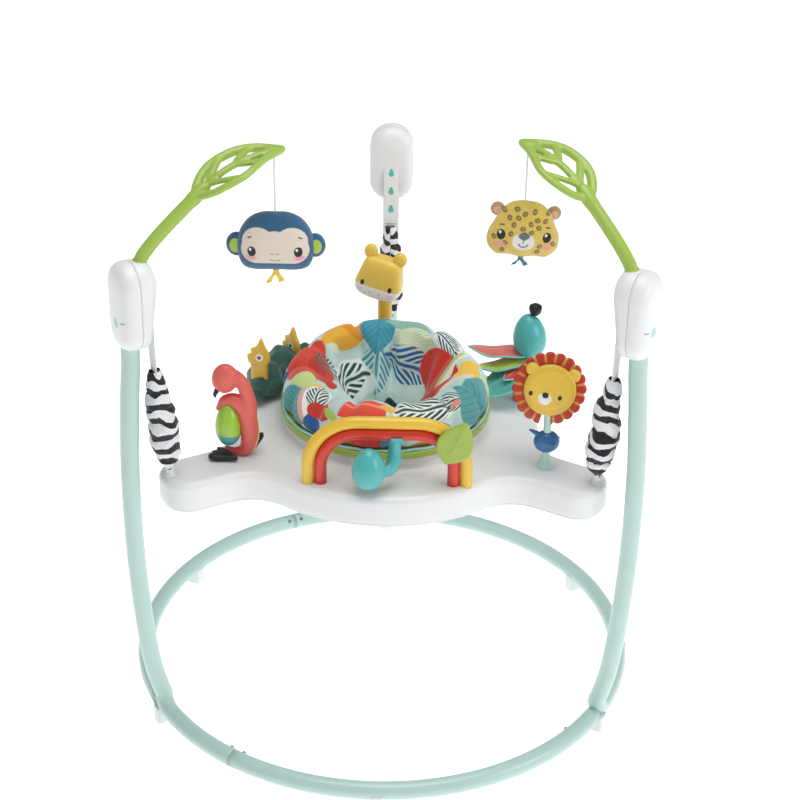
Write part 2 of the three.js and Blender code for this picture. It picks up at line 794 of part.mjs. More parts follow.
// Three fabric leaves that spread from one root over the tray.
function birdWings() {
  const petals = [
    { length: 104, width: 44, turn: 152, drop: -2, z: 4 },
    { length: 88, width: 46, turn: 176, drop: 16, z: -2 },
    { length: 84, width: 58, turn: 222, drop: 27, z: -7 },
  ].map(({ length, width, turn, drop, z }) =>
    leafPlate(length, width, 7, 2)
      .rotateX(Math.PI / 2)
      .rotateZ(Math.PI / 2)
      .translate(length / 2 - 8, 0, 0)
      .rotateY(rad(drop))
      .rotateZ(rad(turn))
      .translate(0, 0, z),
  );
  const root = ellipsoid(17, 17, 11).translate(0, 0, -4);
  const post = rod(11, TRAY_TOP + GAP - WING_ROOT, -6, 8).translate(-9, -5, 0);
  const perch = rod(5, 0, 15.5, 8).translate(2, 4, 0);
  return join(root, post, perch, ...petals);
}

// ---------------------------------------------------------------- assembly

function frameGroup() {
  const groups = Object.entries(STATIONS).map(([side, azimuth]) =>
    station(
      azimuth,
      piece(`leg_${side}`, legTube(), MINT),
      piece(`base_tube_${side}`, baseTube(), MINT),
      piece(`foot_${side}`, foot(), WHITE),
      piece(`housing_outer_${side}`, housingOuter(), WHITE),
      piece(`housing_inner_${side}`, housingInner(side !== "rear"), WHITE),
      piece(`strap_${side}`, strap(), WEBBING),
      piece(`spring_${side}`, coilSpring(), STEEL),
      piece(`spring_cover_${side}`, springCover(), ZEBRA),
      piece(`spring_anchor_${side}`, springAnchor(), WHITE),
    ),
  );
  const middleFeet = { front: 270, rear_left: 150, rear_right: 30 };
  for (const [side, azimuth] of Object.entries(middleFeet)) {
    groups.push(station(azimuth, piece(`foot_${side}`, foot(), WHITE)));
  }
  return groups;
}

function armGroup(side, toy) {
  const arm = new THREE.Group();
  arm.position.x = ARM_ROOT;
  arm.rotation.z = rad(ARM_TURN[side]);
  const hanging = placed(-STRING.reach, 0, 0, toy);
  hanging.rotation.z = -rad(STATIONS[side] + ARM_TURN[side]);
  arm.add(
    piece(`leaf_arm_${side}`, leafArm(), LIME),
    piece(`string_${side}`, hangingString(), WEBBING),
    hanging,
  );
  return station(STATIONS[side], arm);
}

function trayToys() {
  const lion = placed(
    LION.x,
    LION.y,
    0,
    piece("lion_stem", lionStem(), PALE_MINT),
    piece("lion_bird", lionBird().translate(0, 0, 499), BLUE),
  );
  const head = placed(
    0,
    0,
    586,
    piece("lion_mane", lionMane().translate(0, 10, 0), ORANGE_RED),
    piece("lion_face", lionFace().translate(0, 3.5, 0), YELLOW),
  );
  head.rotation.x = rad(-14);
  lion.add(head);

  const flamingo = placed(
    FLAMINGO.x,
    FLAMINGO.y,
    TRAY_TOP + 44 + GAP,
    piece("flamingo_body", flamingoBody(), SALMON),
    piece("flamingo_ball", flamingoBall().translate(-6, 0, 2), LIME),
  );
  const feet = placed(
    FLAMINGO.x - 19,
    FLAMINGO.y - 24,
    TRAY_TOP + 4 + GAP,
    piece("flamingo_feet", flamingoFeet(), BLACK),
  );

  const lizards = LIZARDS.map(({ name, azimuth, neck }) =>
    station(azimuth, placed(HEDGE.radius, 0, LIZARD_PIN, piece(name, lizard(neck).rotateZ(Math.PI), YELLOW))),
  );

  const giraffe = placed(
    GIRAFFE.x,
    GIRAFFE.y,
    0,
    piece("giraffe_neck", giraffeNeck(), YELLOW),
    piece("giraffe_head", giraffeHead().translate(0, 0, 600), YELLOW),
  );

  const bird = placed(
    BIRD.x,
    BIRD.y,
    BIRD.z,
    piece("bird_body", birdBody(), TEAL),
    piece("bird_crest", ellipsoid(10, 10, 10).translate(7, 0, 48), BLACK),
  );
  const wings = placed(BIRD.x - 3, BIRD.y - 4, WING_ROOT, piece("bird_wings", birdWings(), CORAL_FABRIC));
  return [lion, flamingo, feet, piece("hedge", hedge(), DARK_GREEN), ...lizards, giraffe, bird, wings];
}

function toyBar() {
  const leaf = leafPlate(74, 52, 7, 2.5).rotateY(rad(24));
  return placed(
    BAR.x,
    BAR.y,
    0,
    piece("bar_outer", archTube(0), YELLOW),
    piece("bar_inner", archTube(BAR_PITCH), RED),
    piece("bar_hook", barHook().translate(HOOK_X, 0, BAR_AXIS_Z), TEAL),
    piece("bar_egg", barEgg().translate(HOOK_X, 0, BAR_AXIS_Z), TEAL),
    piece("bar_leaf", leaf.translate(101, -BAR.tube - 4.5, 533), LIME),
  );
}

const jumper = new THREE.Group();
jumper.position.set(0, AXIS_Y, -FLOOR);
jumper.add(
  ...frameGroup(),
  armGroup("left", piece("monkey", plushHead(124, 96, 42, { radius: 15, x: 60, z: -7 }).translate(0, 0, 793), MONKEY_BLUE)),
  armGroup("right", piece("leopard", plushHead(106, 82, 38, { radius: 12, x: 42, z: 24 }).translate(0, 0, 799), LEOPARD_YELLOW)),
  piece("tray_top", trayTop(), WHITE),
  piece("tray_base", trayBase(), WHITE),
  piece("seat_ring", seatRing(), LIME),
  piece("seat_pad", seatPad(), PRINT),
  toyBar(),
  ...trayToys(),
);

export default jumper;
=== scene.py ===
import math

import bmesh
import bpy
from mathutils import Matrix, Vector, noise
from mathutils.bvhtree import BVHTree
from mathutils.geometry import barycentric_transform


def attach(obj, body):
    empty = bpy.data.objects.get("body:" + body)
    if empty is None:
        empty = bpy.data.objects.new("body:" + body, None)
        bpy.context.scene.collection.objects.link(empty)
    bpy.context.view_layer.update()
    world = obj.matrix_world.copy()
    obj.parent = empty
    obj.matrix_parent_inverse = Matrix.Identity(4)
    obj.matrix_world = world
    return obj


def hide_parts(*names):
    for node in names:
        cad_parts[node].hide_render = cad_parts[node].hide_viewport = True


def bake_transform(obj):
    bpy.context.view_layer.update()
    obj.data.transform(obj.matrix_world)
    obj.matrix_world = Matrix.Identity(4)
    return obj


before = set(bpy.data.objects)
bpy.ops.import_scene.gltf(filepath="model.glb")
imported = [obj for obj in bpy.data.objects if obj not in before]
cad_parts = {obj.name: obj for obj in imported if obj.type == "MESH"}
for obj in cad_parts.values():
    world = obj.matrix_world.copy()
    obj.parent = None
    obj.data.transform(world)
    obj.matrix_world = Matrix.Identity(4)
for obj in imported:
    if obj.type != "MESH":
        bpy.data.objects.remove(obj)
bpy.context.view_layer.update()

# Places and sizes are in the drawing's own millimetres: heights count from a datum 8 mm below the
# floor, and the floor ring's axis stands at x = y = 0. ROW takes them to the frame's metres.
AXIS_Y, FLOOR = -11.5, 8
ROW = Matrix.Scale(0.001, 4) @ Matrix.Translation((0, AXIS_Y, -FLOOR))

# The directions of the three posts, and of all that repeats with them.
STATIONS = {"rear": 90, "left": 210, "right": 330}
RING_RADIUS, RING_HEIGHT, TUBE_RADIUS, LEG_BEND, LEG_SWEEP = 400, 40, 14, 24, 26
POST_TOP_RADIUS = 419
HOUSING = {"bottom": 677, "height": 133, "width": 75, "inner": 380, "seam": 411, "outer": 439,
           "round": 19, "crown": 1.2, "step": 11}
CAP_SCREW = {"inset": 8.4, "y": 17, "z": 792}
ARM_ROOT, ARM_TURN, STRING_REACH = 397, {"left": 3, "right": -19}, 216
STRAP = {"width": 26, "top": (386.5, 745), "bottom": (385, 637)}
SPRING_TOP, SPRING_BOTTOM = (384, 634), (369, 467)
TRAY = {"top": 455, "skirt": 411.5, "bottom": 407, "body": 245, "hole": 146, "edge": 11}
LOBE = {"reach": 382, "half_width": 45, "fillet": 70}
COLLAR = {"top": 476, "radius": 161, "foot": 170}
SEAT_RING = {"radius": 166, "bore": 134.5, "bottom": 424, "top": 488}
BAR = {"x": 6, "y": -196, "half_span": 118, "top": 557, "tube": 9.3, "sweep": 74}
BAR_PITCH = 2 * BAR["tube"] + 0.3
BAR_AXIS_Z = BAR["top"] - BAR_PITCH
HOOK_X = BAR["x"] + 14
EGG = {"x": -41, "y": -32, "z": -41, "radius": 24.5, "half_height": 32.5}
EGG_TAPER = 0.14
SPINNER = {"x": BAR["x"] + 101, "z": 533}
# The hanging heads: the middle of the head, and the lower end of its string inside it.
MONKEY = {"middle": 793, "string_end": 838}
LEOPARD = {"middle": 802, "string_end": 843}
# The strings' upper end, and their diameter in metres.
STRING_TOP, STRING_DIAMETER = 927, 0.0028
# Where the other toys stand on the tray, as (x, y), with the heights of their upper parts.
LION, LION_BIRD_HEIGHT, LION_HEAD_HEIGHT = (246, -137), 499, 586
FLAMINGO = (-226, -118)
# The hedge's radius, its two ends' directions and its middle height, and each lizard's direction
# and neck length.
HEDGE = {"radius": 213, "from": 128, "to": 171, "height": TRAY["top"] + 24}
LIZARDS = {"front": (164, 24), "rear": (138, 6)}
LIZARD_PIVOT_HEIGHT = 495
GIRAFFE, GIRAFFE_HEAD_HEIGHT = (-13, 203), 600
BIRD = (230, 92, 566)
WING_ROOT = (227, 88, 513)


# ---------------------------------------------------------------- geometry

def turn(degrees, axis="Z"):
    return Matrix.Rotation(math.radians(degrees), 4, axis)


def shift(x, y, z):
    return Matrix.Translation((x, y, z))


def clamped(value):
    return min(max(value, 0), 1)


def ease(value, low, high):
    share = clamped((value - low) / (high - low))
    return share * share * (3 - 2 * share)


def bell(value, width):
    return math.exp(-(value / width) ** 2)


def cos(degrees):
    return math.cos(math.radians(degrees))


def sin(degrees):
    return math.sin(math.radians(degrees))


def polar(radius, degrees, z=0):
    return Vector((radius * cos(degrees), radius * sin(degrees), z))


class Shell:
    """A surface as vertices, in millimetres, and faces."""

    def __init__(self, verts, faces):
        self.verts = verts
        self.faces = faces

    def moved(self, matrix):
        return Shell([matrix @ v for v in self.verts], self.faces)

    def shaped(self, change):
        return Shell([change(v) for v in self.verts], self.faces)

    def __add__(self, other):
        start = len(self.verts)
        return Shell(self.verts + other.verts, self.faces + [[i + start for i in f] for f in other.faces])


def curve(points, per=6, closed=False):
    """A smooth line through the points, with a number of steps between each two of them."""
    points = [Vector(p) for p in points]
    count = len(points)
    line = []
    for i in range(count if closed else count - 1):
        if closed:
            a, b, c, d = (points[(i + k) % count] for k in (-1, 0, 1, 2))
        else:
            b, c = points[i], points[i + 1]
            a = points[i - 1] if i else b + (b - c)
            d = points[i + 2] if i + 2 < count else c + (c - b)
        for k in range(per):
            t = k / per
            line.append(0.5 * (2 * b + (c - a) * t + (2 * a - 5 * b + 4 * c - d) * t * t
                               + (3 * b - a - 3 * c + d) * t ** 3))
    if not closed:
        line.append(points[-1])
    return line


def loft(rings, around=False):
    """Joins rings of points into one closed surface. A ring of one point is a pole; around joins the
    last ring to the first."""
    verts, faces, starts = [], [], []
    for ring in rings:
        starts.append(len(verts))
        verts += [Vector(p) for p in ring]
    for i in range(len(rings) if around else len(rings) - 1):
        j = (i + 1) % len(rings)
        m, n = len(rings[i]), len(rings[j])
        for k in range(max(m, n)):
            a, b = starts[i] + k % m, starts[i] + (k + 1) % m
            c, d = starts[j] + (k + 1) % n, starts[j] + k % n
            face = [a, b, c, d]
            if m == 1:
                face = [a, c, d]
            if n == 1:
                face = [a, b, d]
            faces.append(face)
    if not around:
        if len(rings[0]) > 1:
            faces.append(list(range(len(rings[0])))[::-1])
        if len(rings[-1]) > 1:
            faces.append([starts[-1] + k for k in range(len(rings[-1]))])
    return Shell(verts, faces)


def circle(radius, count, z=0.0):
    return [polar(radius, 360 * k / count, z) for k in range(count)]


def lathe(profile, count=64, per=4):
    """A smooth turned form about Z, from its profile of (radius, height), pole to pole or closed."""
    line = curve([(r, 0, z) for r, z in profile], per) if per else [Vector((r, 0, z)) for r, z in profile]
    closed = profile[0] == profile[-1] and profile[0][0] > 0
    if closed:
        line = line[:-1]
    rings = [[Vector((0, 0, p.z))] if p.x < 1e-4 else circle(p.x, count, p.z) for p in line]
    return loft(rings, around=closed)


def rounded(profile, radius):
    """The profile with each inner corner replaced by an arc-like bend of about that radius."""
    steps = 4
    points = [Vector((r, z)) for r, z in profile]
    out = [points[0]]
    for i in range(1, len(points) - 1):
        a, b, c = points[i - 1], points[i], points[i + 1]
        reach = min(radius, (a - b).length / 2.01, (c - b).length / 2.01)
        start, end = b + (a - b).normalized() * reach, b + (c - b).normalized() * reach
        for k in range(steps + 1):
            t = k / steps
            out.append(start * (1 - t) ** 2 + b * 2 * t * (1 - t) + end * t * t)
    out.append(points[-1])
    return [(p.x, p.y) for p in out]


def turned(profile, radius, count=64):
    """A turned form about Z with its corners rounded off. The profile runs from pole to pole."""
    return lathe(rounded(profile, radius), count, per=0)


def tube(path, radius, sides=20, flat=1.0, ends=True, upward=(0, 0, 1)):
    """A round or flattened tube along a path; radius is a number or a function of the share of it."""
    path = [Vector(p) for p in path]
    radius_at = radius if callable(radius) else (lambda share: radius)
    last = len(path) - 1
    stations, side = [], None
    for i, p in enumerate(path):
        ahead = (path[min(i + 1, last)] - path[max(i - 1, 0)]).normalized()
        if side is None:
            side = Vector(upward).cross(ahead)
            if side.length < 1e-3:
                side = Vector((1, 0, 0)).cross(ahead)
        side = (side - ahead * side.dot(ahead)).normalized()
        up = ahead.cross(side) * flat
        r = radius_at(i / last)
        angles = [360 * k / sides for k in range(sides)]
        stations.append((p, ahead, [p + side * r * cos(a) + up * r * sin(a) for a in angles]))

    def cap(p, ahead, ring, sign):
        depth = sign * (ring[0] - p).length * flat
        rounds = [[p + (q - p) * cos(a) + ahead * depth * sin(a) for q in ring] for a in (30, 60)]
        return rounds + [[p + ahead * depth]]

    body = [ring for _, _, ring in stations]
    if not ends:
        return loft(body)
    return loft(cap(*stations[0], -1)[::-1] + body + cap(*stations[-1], 1))


def cushion(outline, front, back=None, power=2.6, steps=9, middle=None, edge=0.0):
    """A crowned form over an outline in the XZ plane. front and back are how far it swells towards -Y
    and +Y, and edge is the half-thickness of its straight side."""
    back = front if back is None else back
    outline = [Vector((x, 0, z)) for x, z in outline]
    if middle is None:
        middle = sum(outline, Vector()) / len(outline)
    else:
        middle = Vector((middle[0], 0, middle[1]))

    def dome(height, sign):
        rings = []
        for i in range(steps + 1):
            share = math.cos(math.pi / 2 * i / steps)
            rise = edge + (height - edge) * max(0.0, 1 - share ** power) ** (1 / power)
            ring = [middle + (p - middle) * share + Vector((0, sign * rise, 0)) for p in outline]
            rings.append(ring if i < steps else [middle + Vector((0, sign * height, 0))])
        return rings
    front_rings = dome(front, -1)
    back_rings = dome(back, 1)
    if edge == 0:
        back_rings = back_rings[1:]
    return loft(front_rings[::-1] + back_rings)


def ball(rx, ry, rz, count=40, bands=20):
    rings = []
    for i in range(bands + 1):
        lift = 180 * (i / bands - 0.5)
        z = rz * sin(lift)
        ring = [(rx * cos(lift) * cos(360 * k / count), ry * cos(lift) * sin(360 * k / count), z)
                for k in range(count)]
        rings.append(ring if 0 < i < bands else [(0, 0, z)])
    return loft(rings)


def egg(radius, half_height, count=48, bands=24):
    """An egg with its narrower end up."""
    rings = []
    for i in range(bands + 1):
        lift = 180 * (i / bands - 0.5)
        z = half_height * sin(lift)
        r = radius * cos(lift) * (1 - EGG_TAPER * sin(lift))
        rings.append(circle(r, count, z) if 0 < i < bands else [Vector((0, 0, z))])
    return loft(rings)


def oval(rx, rz, count=48, power=2.0):
    """An oval outline in XZ; a power above 2 squares it off."""
    def squared(value):
        return math.copysign(abs(value) ** (2 / power), value)
    return [(rx * squared(cos(360 * k / count)), rz * squared(sin(360 * k / count))) for k in range(count)]


def smooth_outline(points, per=8):
    return [(p.x, p.z) for p in curve([(x, 0, z) for x, z in points], per, closed=True)]


def mirrored(half):
    """A whole outline from its right half, whose two ends lie on the middle line."""
    return half + [(-x, z) for x, z in half[-2:0:-1]]


def pair(shape, x, y, z):
    """The shape twice, at both sides of the middle."""
    return shape.moved(shift(-x, y, z)) + shape.moved(shift(x, y, z))


# ---------------------------------------------------------------- materials

def linear(colour):
    value = [int(colour[i:i + 2], 16) / 255 for i in (1, 3, 5)]
    return [v / 12.92 if v <= 0.04045 else ((v + 0.055) / 1.055) ** 2.4 for v in value] + [1.0]


def shaded(colour, share):
    return [c * share for c in colour[:3]] + [1.0]


class Finish:
    """A material being put together: a Principled shader, with its colour and bump built up by nodes."""

    def __init__(self, name, roughness=0.4, coat=0.0, sheen=0.0, metallic=0.0):
        self.material = bpy.data.materials.new(name)
        self.material.use_nodes = True
        self.tree = self.material.node_tree
        self.shader = self.tree.nodes["Principled BSDF"]
        self.feed(self.shader, {"Roughness": roughness, "Metallic": metallic, "Coat Weight": coat,
                                "Coat Roughness": 0.12, "Sheen Weight": sheen, "Sheen Roughness": 0.5})
        self.colour = None
        self.normal = None
        self.object_space = self.node("TexCoord").outputs["Object"]
        self.uv_space = None

    def feed(self, node, inputs):
        """Sets each named or numbered input to a value, or links another node's output to it."""
        for key, value in inputs.items():
            if isinstance(value, bpy.types.NodeSocket):
                self.tree.links.new(value, node.inputs[key])
            elif value is not None:
                node.inputs[key].default_value = value

    def node(self, kind, inputs=None, **settings):
        node = self.tree.nodes.new("ShaderNode" + kind)
        for key, value in settings.items():
            setattr(node, key, value)
        self.feed(node, inputs or {})
        return node

    def uv(self):
        if self.uv_space is None:
            self.uv_space = self.node("UVMap", uv_map="print").outputs["UV"]
        return self.uv_space

    def math(self, operation, a, b=None, c=None):
        return self.node("Math", {0: a, 1: b, 2: c}, operation=operation).outputs[0]

    def product(self, first, *others):
        for other in others:
            first = self.math("MULTIPLY", first, other)
        return first

    def mix(self, factor, a, b):
        return self.node("Mix", {0: factor, 6: a, 7: b}, data_type="RGBA").outputs[2]

    def noise(self, scale, detail, space=None):
        space = space or self.object_space
        return self.node("TexNoise", {"Vector": space, "Scale": scale, "Detail": detail}).outputs["Fac"]

    def base(self, colour, vary=0.06, scale=60):
        """The ground colour, a little uneven."""
        self.colour = self.mix(self.noise(scale, 3), shaded(linear(colour), 1 - 2 * vary), linear(colour))
        return self

    def edge(self, value, limit=1.0, soft=0.04):
        """1 where the value is below the limit, with a soft edge."""
        return self.node("MapRange", {"Value": value, "From Min": limit + soft,
                                      "From Max": limit - soft}).outputs[0]

    def outside(self, value, limit, soft):
        """1 where the value is above the limit, with a soft edge."""
        return self.math("SUBTRACT", 1.0, self.edge(value, limit, soft))

    def leaf_wave(self, x, y, slant, bars):
        """A wave along a leaf that sweeps back from its middle rib."""
        lean = self.math("MULTIPLY_ADD", x, -slant, y)
        return self.math("SINE", self.math("MULTIPLY", lean, math.pi * bars))

    def cut_out(self, kind, mask, value, x, y, soft, bars):
        """The mask of a whole shape, less what its kind leaves open."""
        if kind == "ring":
            return self.product(mask, self.outside(value, 0.8, soft))
        if kind == "smile":
            return self.product(mask, self.outside(value, 0.75, soft), self.edge(y, -0.2, soft))
        if kind == "dots":
            across = self.math("SINE", self.math("MULTIPLY", x, 46))
            along = self.math("SINE", self.math("MULTIPLY", y, 22))
            return self.product(mask, self.edge(self.product(across, along, -1.0), -0.45, 0.15))
        if kind == "palm":
            fingers = self.product(self.edge(self.leaf_wave(x, y, 0.9, bars), 0.15, 0.25),
                                   self.outside(x, 0.2, 0.03))
            return self.product(mask, self.math("MAXIMUM", self.edge(x, 0.09, 0.04), fingers))
        return mask

    def paint(self, kind, at, size, colour, turn_by=0, soft=0.04, bars=6, strength=1.0):
        """Paints one shape of the print over the colour so far, in the piece's own flat millimetres. It
        is an ellipse, ring, smile, box, leaf, veined leaf, palm leaf with open fingers, or field of dots."""
        place = self.node("Mapping", {"Vector": self.uv(), "Location": (at[0] / 1000, at[1] / 1000, 0),
                                      "Rotation": (0, 0, math.radians(turn_by)),
                                      "Scale": (size[0] / 1000, size[1] / 1000, 1)}, vector_type="TEXTURE")
        split = self.node("SeparateXYZ", {0: place.outputs[0]})
        x, y = self.math("ABSOLUTE", split.outputs[0]), split.outputs[1]
        if kind in ("leaf", "palm", "veined"):
            value = self.math("MULTIPLY_ADD", y, y, x)
        elif kind == "box":
            value = self.math("MAXIMUM", x, self.math("ABSOLUTE", y))
        else:
            value = self.math("SQRT", self.math("MULTIPLY_ADD", y, y, self.math("MULTIPLY", x, x)))
        mask = self.cut_out(kind, self.edge(value, 1.0, soft), value, x, y, soft, bars)
        if strength < 1:
            mask = self.product(mask, strength)
        self.colour = self.mix(mask, self.colour, linear(colour))
        if kind == "veined":
            veins = self.math("MAXIMUM", self.edge(self.leaf_wave(x, y, 0.8, bars), -0.8, 0.12),
                              self.edge(x, 0.05, 0.03))
            self.colour = self.mix(self.product(mask, veins, 0.7), self.colour, shaded(linear(colour), 0.62))
        return self

    def paint_both(self, kind, at, size, colour, about=0, turn_by=0, **settings):
        """Paints a shape and its mirror image, at both sides of the line x = about."""
        for side in (-1, 1):
            self.paint(kind, (about + side * at[0], at[1]), size, colour, turn_by=side * turn_by, **settings)
        return self

    def bump(self, height, strength, distance):
        bumps = {"Height": height, "Strength": strength, "Distance": distance, "Normal": self.normal}
        self.normal = self.node("Bump", bumps).outputs[0]
        return self

    def grain(self, scale, strength=0.2, distance=0.0002):
        """Fine unevenness, as on moulded plastic or paint."""
        return self.bump(self.noise(scale, 2), strength, distance)

    def weave(self, pitch):
        """Crossing threads, about three pitches apart. The pitch is in millimetres."""
        threads = []
        for direction in ("X", "Z"):
            wave = {"Vector": self.object_space, "Scale": 100 / pitch, "Distortion": 0.6, "Detail": 1}
            threads.append(self.node("TexWave", wave, bands_direction=direction).outputs["Fac"])
        return self.bump(self.product(*threads), 0.5, 0.0004)

    def pile(self):
        """The nap of plush."""
        tufts = self.node("TexVoronoi", {"Vector": self.object_space, "Scale": 900})
        self.bump(tufts.outputs["Distance"], 0.8, 0.0012)
        return self.grain(112.5, 0.4, 0.0015)

    def done(self):
        self.feed(self.shader, {"Base Color": self.colour, "Normal": self.normal})
        return self.material


def plastic(name, colour, roughness=0.32, coat=0.25, vary=0.03):
    return Finish(name, roughness, coat).base(colour, vary, 25).grain(1800, 0.12, 0.00015)


def cloth(name, colour, sheen=0.25, vary=0.08, pitch=1.1):
    return Finish(name, 0.85, sheen=sheen).base(colour, vary, 90).weave(pitch)


def plush(name, colour):
    return Finish(name, 0.95, sheen=0.5).base(colour, 0.1, 260).pile()


MINT = plastic("mint_paint", "#b9d7d0", 0.3, 0.3).done()
WHITE = plastic("white_plastic", "#e9eaeb", 0.36, 0.15, 0.01).done()
LIME = plastic("lime_plastic", "#a2bf50", 0.36, 0.2).done()
YELLOW = plastic("yellow_plastic", "#ecc23c").done()
RED = plastic("red_plastic", "#d8341f").done()
TEAL = plastic("teal_plastic", "#4db4b3").done()
PALE_MINT = plastic("pale_mint_plastic", "#c4ece2", 0.3, 0.3).done()
BLUE = plastic("blue_plastic", "#2f6ba3").done()
SALMON = plastic("salmon_plastic", "#e4655a", 0.4, 0.15).done()
BLACK = plastic("black_plastic", "#171a18", 0.45, 0.1).done()
STEEL = Finish("spring_steel", 0.3, metallic=1.0).base("#b5b8bc", 0.1, 300).grain(900, distance=0.0001).done()
SCREW = Finish("screw_steel", 0.4, metallic=0.9).base("#8c9296", 0.1, 300).grain(900, distance=0.0001).done()
CORD = cloth("white_cord", "#f0f0ee", pitch=0.6).done()


# ---------------------------------------------------------------- making a piece

def make(name, shell, material, body, stands_for=(), place=Matrix(), uv=None, plain_back=False):
    """One piece of the object from a shell in millimetres. uv gives the print's flat place of a
    vertex, also in millimetres. With plain_back, faces on the rear half carry no print."""
    mesh = bpy.data.meshes.new(name)
    mesh.from_pydata([ROW @ place @ v for v in shell.verts], [], shell.faces)
    work = bmesh.new()
    work.from_mesh(mesh)
    bmesh.ops.recalc_face_normals(work, faces=work.faces)
    work.to_mesh(mesh)
    work.free()
    if uv:
        behind = set()
        if plain_back:
            behind = {i for i, face in enumerate(shell.faces) if sum(shell.verts[k].y for k in face) > 0}
        lay_print(mesh, [uv(v) for v in shell.verts], unprinted=behind)
    mesh.shade_smooth()
    mesh.materials.append(material)
    piece = bpy.data.objects.new(name, mesh)
    bpy.context.scene.collection.objects.link(piece)
    if body:
        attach(piece, body)
    if stands_for:
        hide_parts(*stands_for)
    return piece


def nearest_turn(u, near, period):
    """The place u, moved by whole periods so that it lies nearest to another place."""
    return u - period * round((u - near) / period)


def lay_print(mesh, places, period=None, unprinted=()):
    """Stores each vertex's place on the flat print as a UV map, in metres. A print that runs round
    and meets itself has the period that it repeats in. Unprinted faces lie a metre off the print."""
    layer = mesh.uv_layers.new(name="print")
    for face in mesh.polygons:
        first = places[mesh.loops[face.loop_start].vertex_index][0]
        for index in face.loop_indices:
            u, v = places[mesh.loops[index].vertex_index]
            if period:
                u = nearest_turn(u, first, period)
            layer.data[index].uv = (u / 1000 + (face.index in unprinted), v / 1000)


def front_view(v):
    """The flat print of a piece that is printed as seen from the front."""
    return v.x, v.z


# ---------------------------------------------------------------- camera, lights and floor

# The camera's place, its lens and sensor in millimetres, and its angles in degrees.
CAMERA_PLACE, CAMERA_LENS, CAMERA_SENSOR = (29.5, -2358.6, 1729), 75.52, 36
CAMERA_PITCH, CAMERA_YAW, CAMERA_ROLL = 27.665, -0.2, 0.997


def add_camera():
    """The viewpoint: about 2.4 m in front of the ring's axis and 1.7 m up, looking down at the tray."""
    ahead = Vector((sin(CAMERA_YAW) * cos(CAMERA_PITCH), cos(CAMERA_YAW) * cos(CAMERA_PITCH),
                    -sin(CAMERA_PITCH)))
    right = ahead.cross(Vector((0, 0, 1))).normalized()
    up = right.cross(ahead)
    tilted_right = right * cos(CAMERA_ROLL) + up * sin(CAMERA_ROLL)
    tilted_up = up * cos(CAMERA_ROLL) - right * sin(CAMERA_ROLL)
    data = bpy.data.cameras.new("camera")
    data.sensor_width = CAMERA_SENSOR
    data.lens = CAMERA_LENS
    camera = bpy.data.objects.new("camera", data)
    axes = Matrix((tilted_right, tilted_up, -ahead)).transposed().to_4x4()
    camera.matrix_world = Matrix.Translation(ROW @ Vector(CAMERA_PLACE)) @ axes
    bpy.context.scene.collection.objects.link(camera)
    bpy.context.scene.camera = camera


def add_light(name, place, size, power):
    data = bpy.data.lights.new(name, "AREA")
    data.shape = "DISK"
    data.size = size
    data.energy = power
    light = bpy.data.objects.new(name, data)
    light.location = place
    light.rotation_euler = (Vector(LIGHT_TARGET) - Vector(place)).to_track_quat("-Z", "Y").to_euler()
    bpy.context.scene.collection.objects.link(light)


# Each light's name, place in metres, size and power.
LIGHTS = (("key", (2.9, -1.5, 1.7), 1.8, 28), ("top", (0.2, -0.2, 3.6), 2.6, 56),
          ("fill", (-2.2, -2.6, 2.4), 2.4, 5))
LIGHT_TARGET = (0, 0, 0.45)
WORLD_LIGHT, FLOOR_GLOW, FLOOR_REACH = 0.36, 0.6, 14


def add_studio():
    """A white floor and a pale surrounding light, with three soft lamps."""
    bpy.context.scene.view_settings.view_transform = "Standard"
    world = bpy.data.worlds.new("studio")
    world.use_nodes = True
    sky = world.node_tree.nodes["Background"]
    sky.inputs["Color"].default_value = (1, 1, 1, 1)
    sky.inputs["Strength"].default_value = WORLD_LIGHT
    bpy.context.scene.world = world
    for light in LIGHTS:
        add_light(*light)
    mesh = bpy.data.meshes.new("floor")
    corners = [(x * FLOOR_REACH, y * FLOOR_REACH, 0) for x, y in ((-1, -1), (1, -1), (1, 1), (-1, 1))]
    mesh.from_pydata(corners, [], [(0, 1, 2, 3)])
    floor = bpy.data.objects.new("floor", mesh)
    finish = Finish("floor", 0.9).base("#ffffff", 0.002, 2)
    finish.feed(finish.shader, {"Emission Color": (1, 1, 1, 1), "Emission Strength": FLOOR_GLOW})
    mesh.materials.append(finish.done())
    bpy.context.scene.collection.objects.link(floor)


add_camera()
add_studio()


# ---------------------------------------------------------------- frame: ring, posts, feet

def on_ring(degrees):
    return polar(RING_RADIUS, degrees, RING_HEIGHT)


def leg_path():
    post = [(POST_TOP_RADIUS, 0, 738), (POST_TOP_RADIUS, 0, 665), (425, 0, 590), (431, 0, 480),
            (431, 0, 350), (426, 0, 240), (417, 0, 140), (406, 0, 85)]
    bend = []
    for angle in (0, 30, 60):
        along = LEG_BEND * (1 - cos(angle))
        point = on_ring(math.degrees(along / RING_RADIUS))
        point.z += LEG_BEND * (1 - sin(angle))
        bend.append(point)
    foot = [on_ring(a) for a in (3.5, 6, 9, 12.5, 16, 19.5, 23, LEG_SWEEP)]
    return curve(post + bend + foot, 5)


def screw(radius):
    """A pan-head screw with a cross recess, its axis along +X and its seat at x = 0."""
    head = turned([(0, -1), (radius, -1), (radius, 1.2), (radius * 0.55, 2.2), (0, 2.4)], 0.8, 24)
    bars = [cushion(oval(w, h, 12, 6), 0.4, 0.4, 6, 4, edge=0.2).moved(turn(-90, "X"))
            for w, h in ((radius * 0.5, 0.5), (0.5, radius * 0.5))]
    cross = (bars[0] + bars[1]).moved(turn(90, "Y")).moved(shift(2.5, 0, 0))
    return head.moved(turn(90, "Y")) + cross


RING_TUBE_START, RING_TUBE_END = LEG_SWEEP + 0.35, 118.4
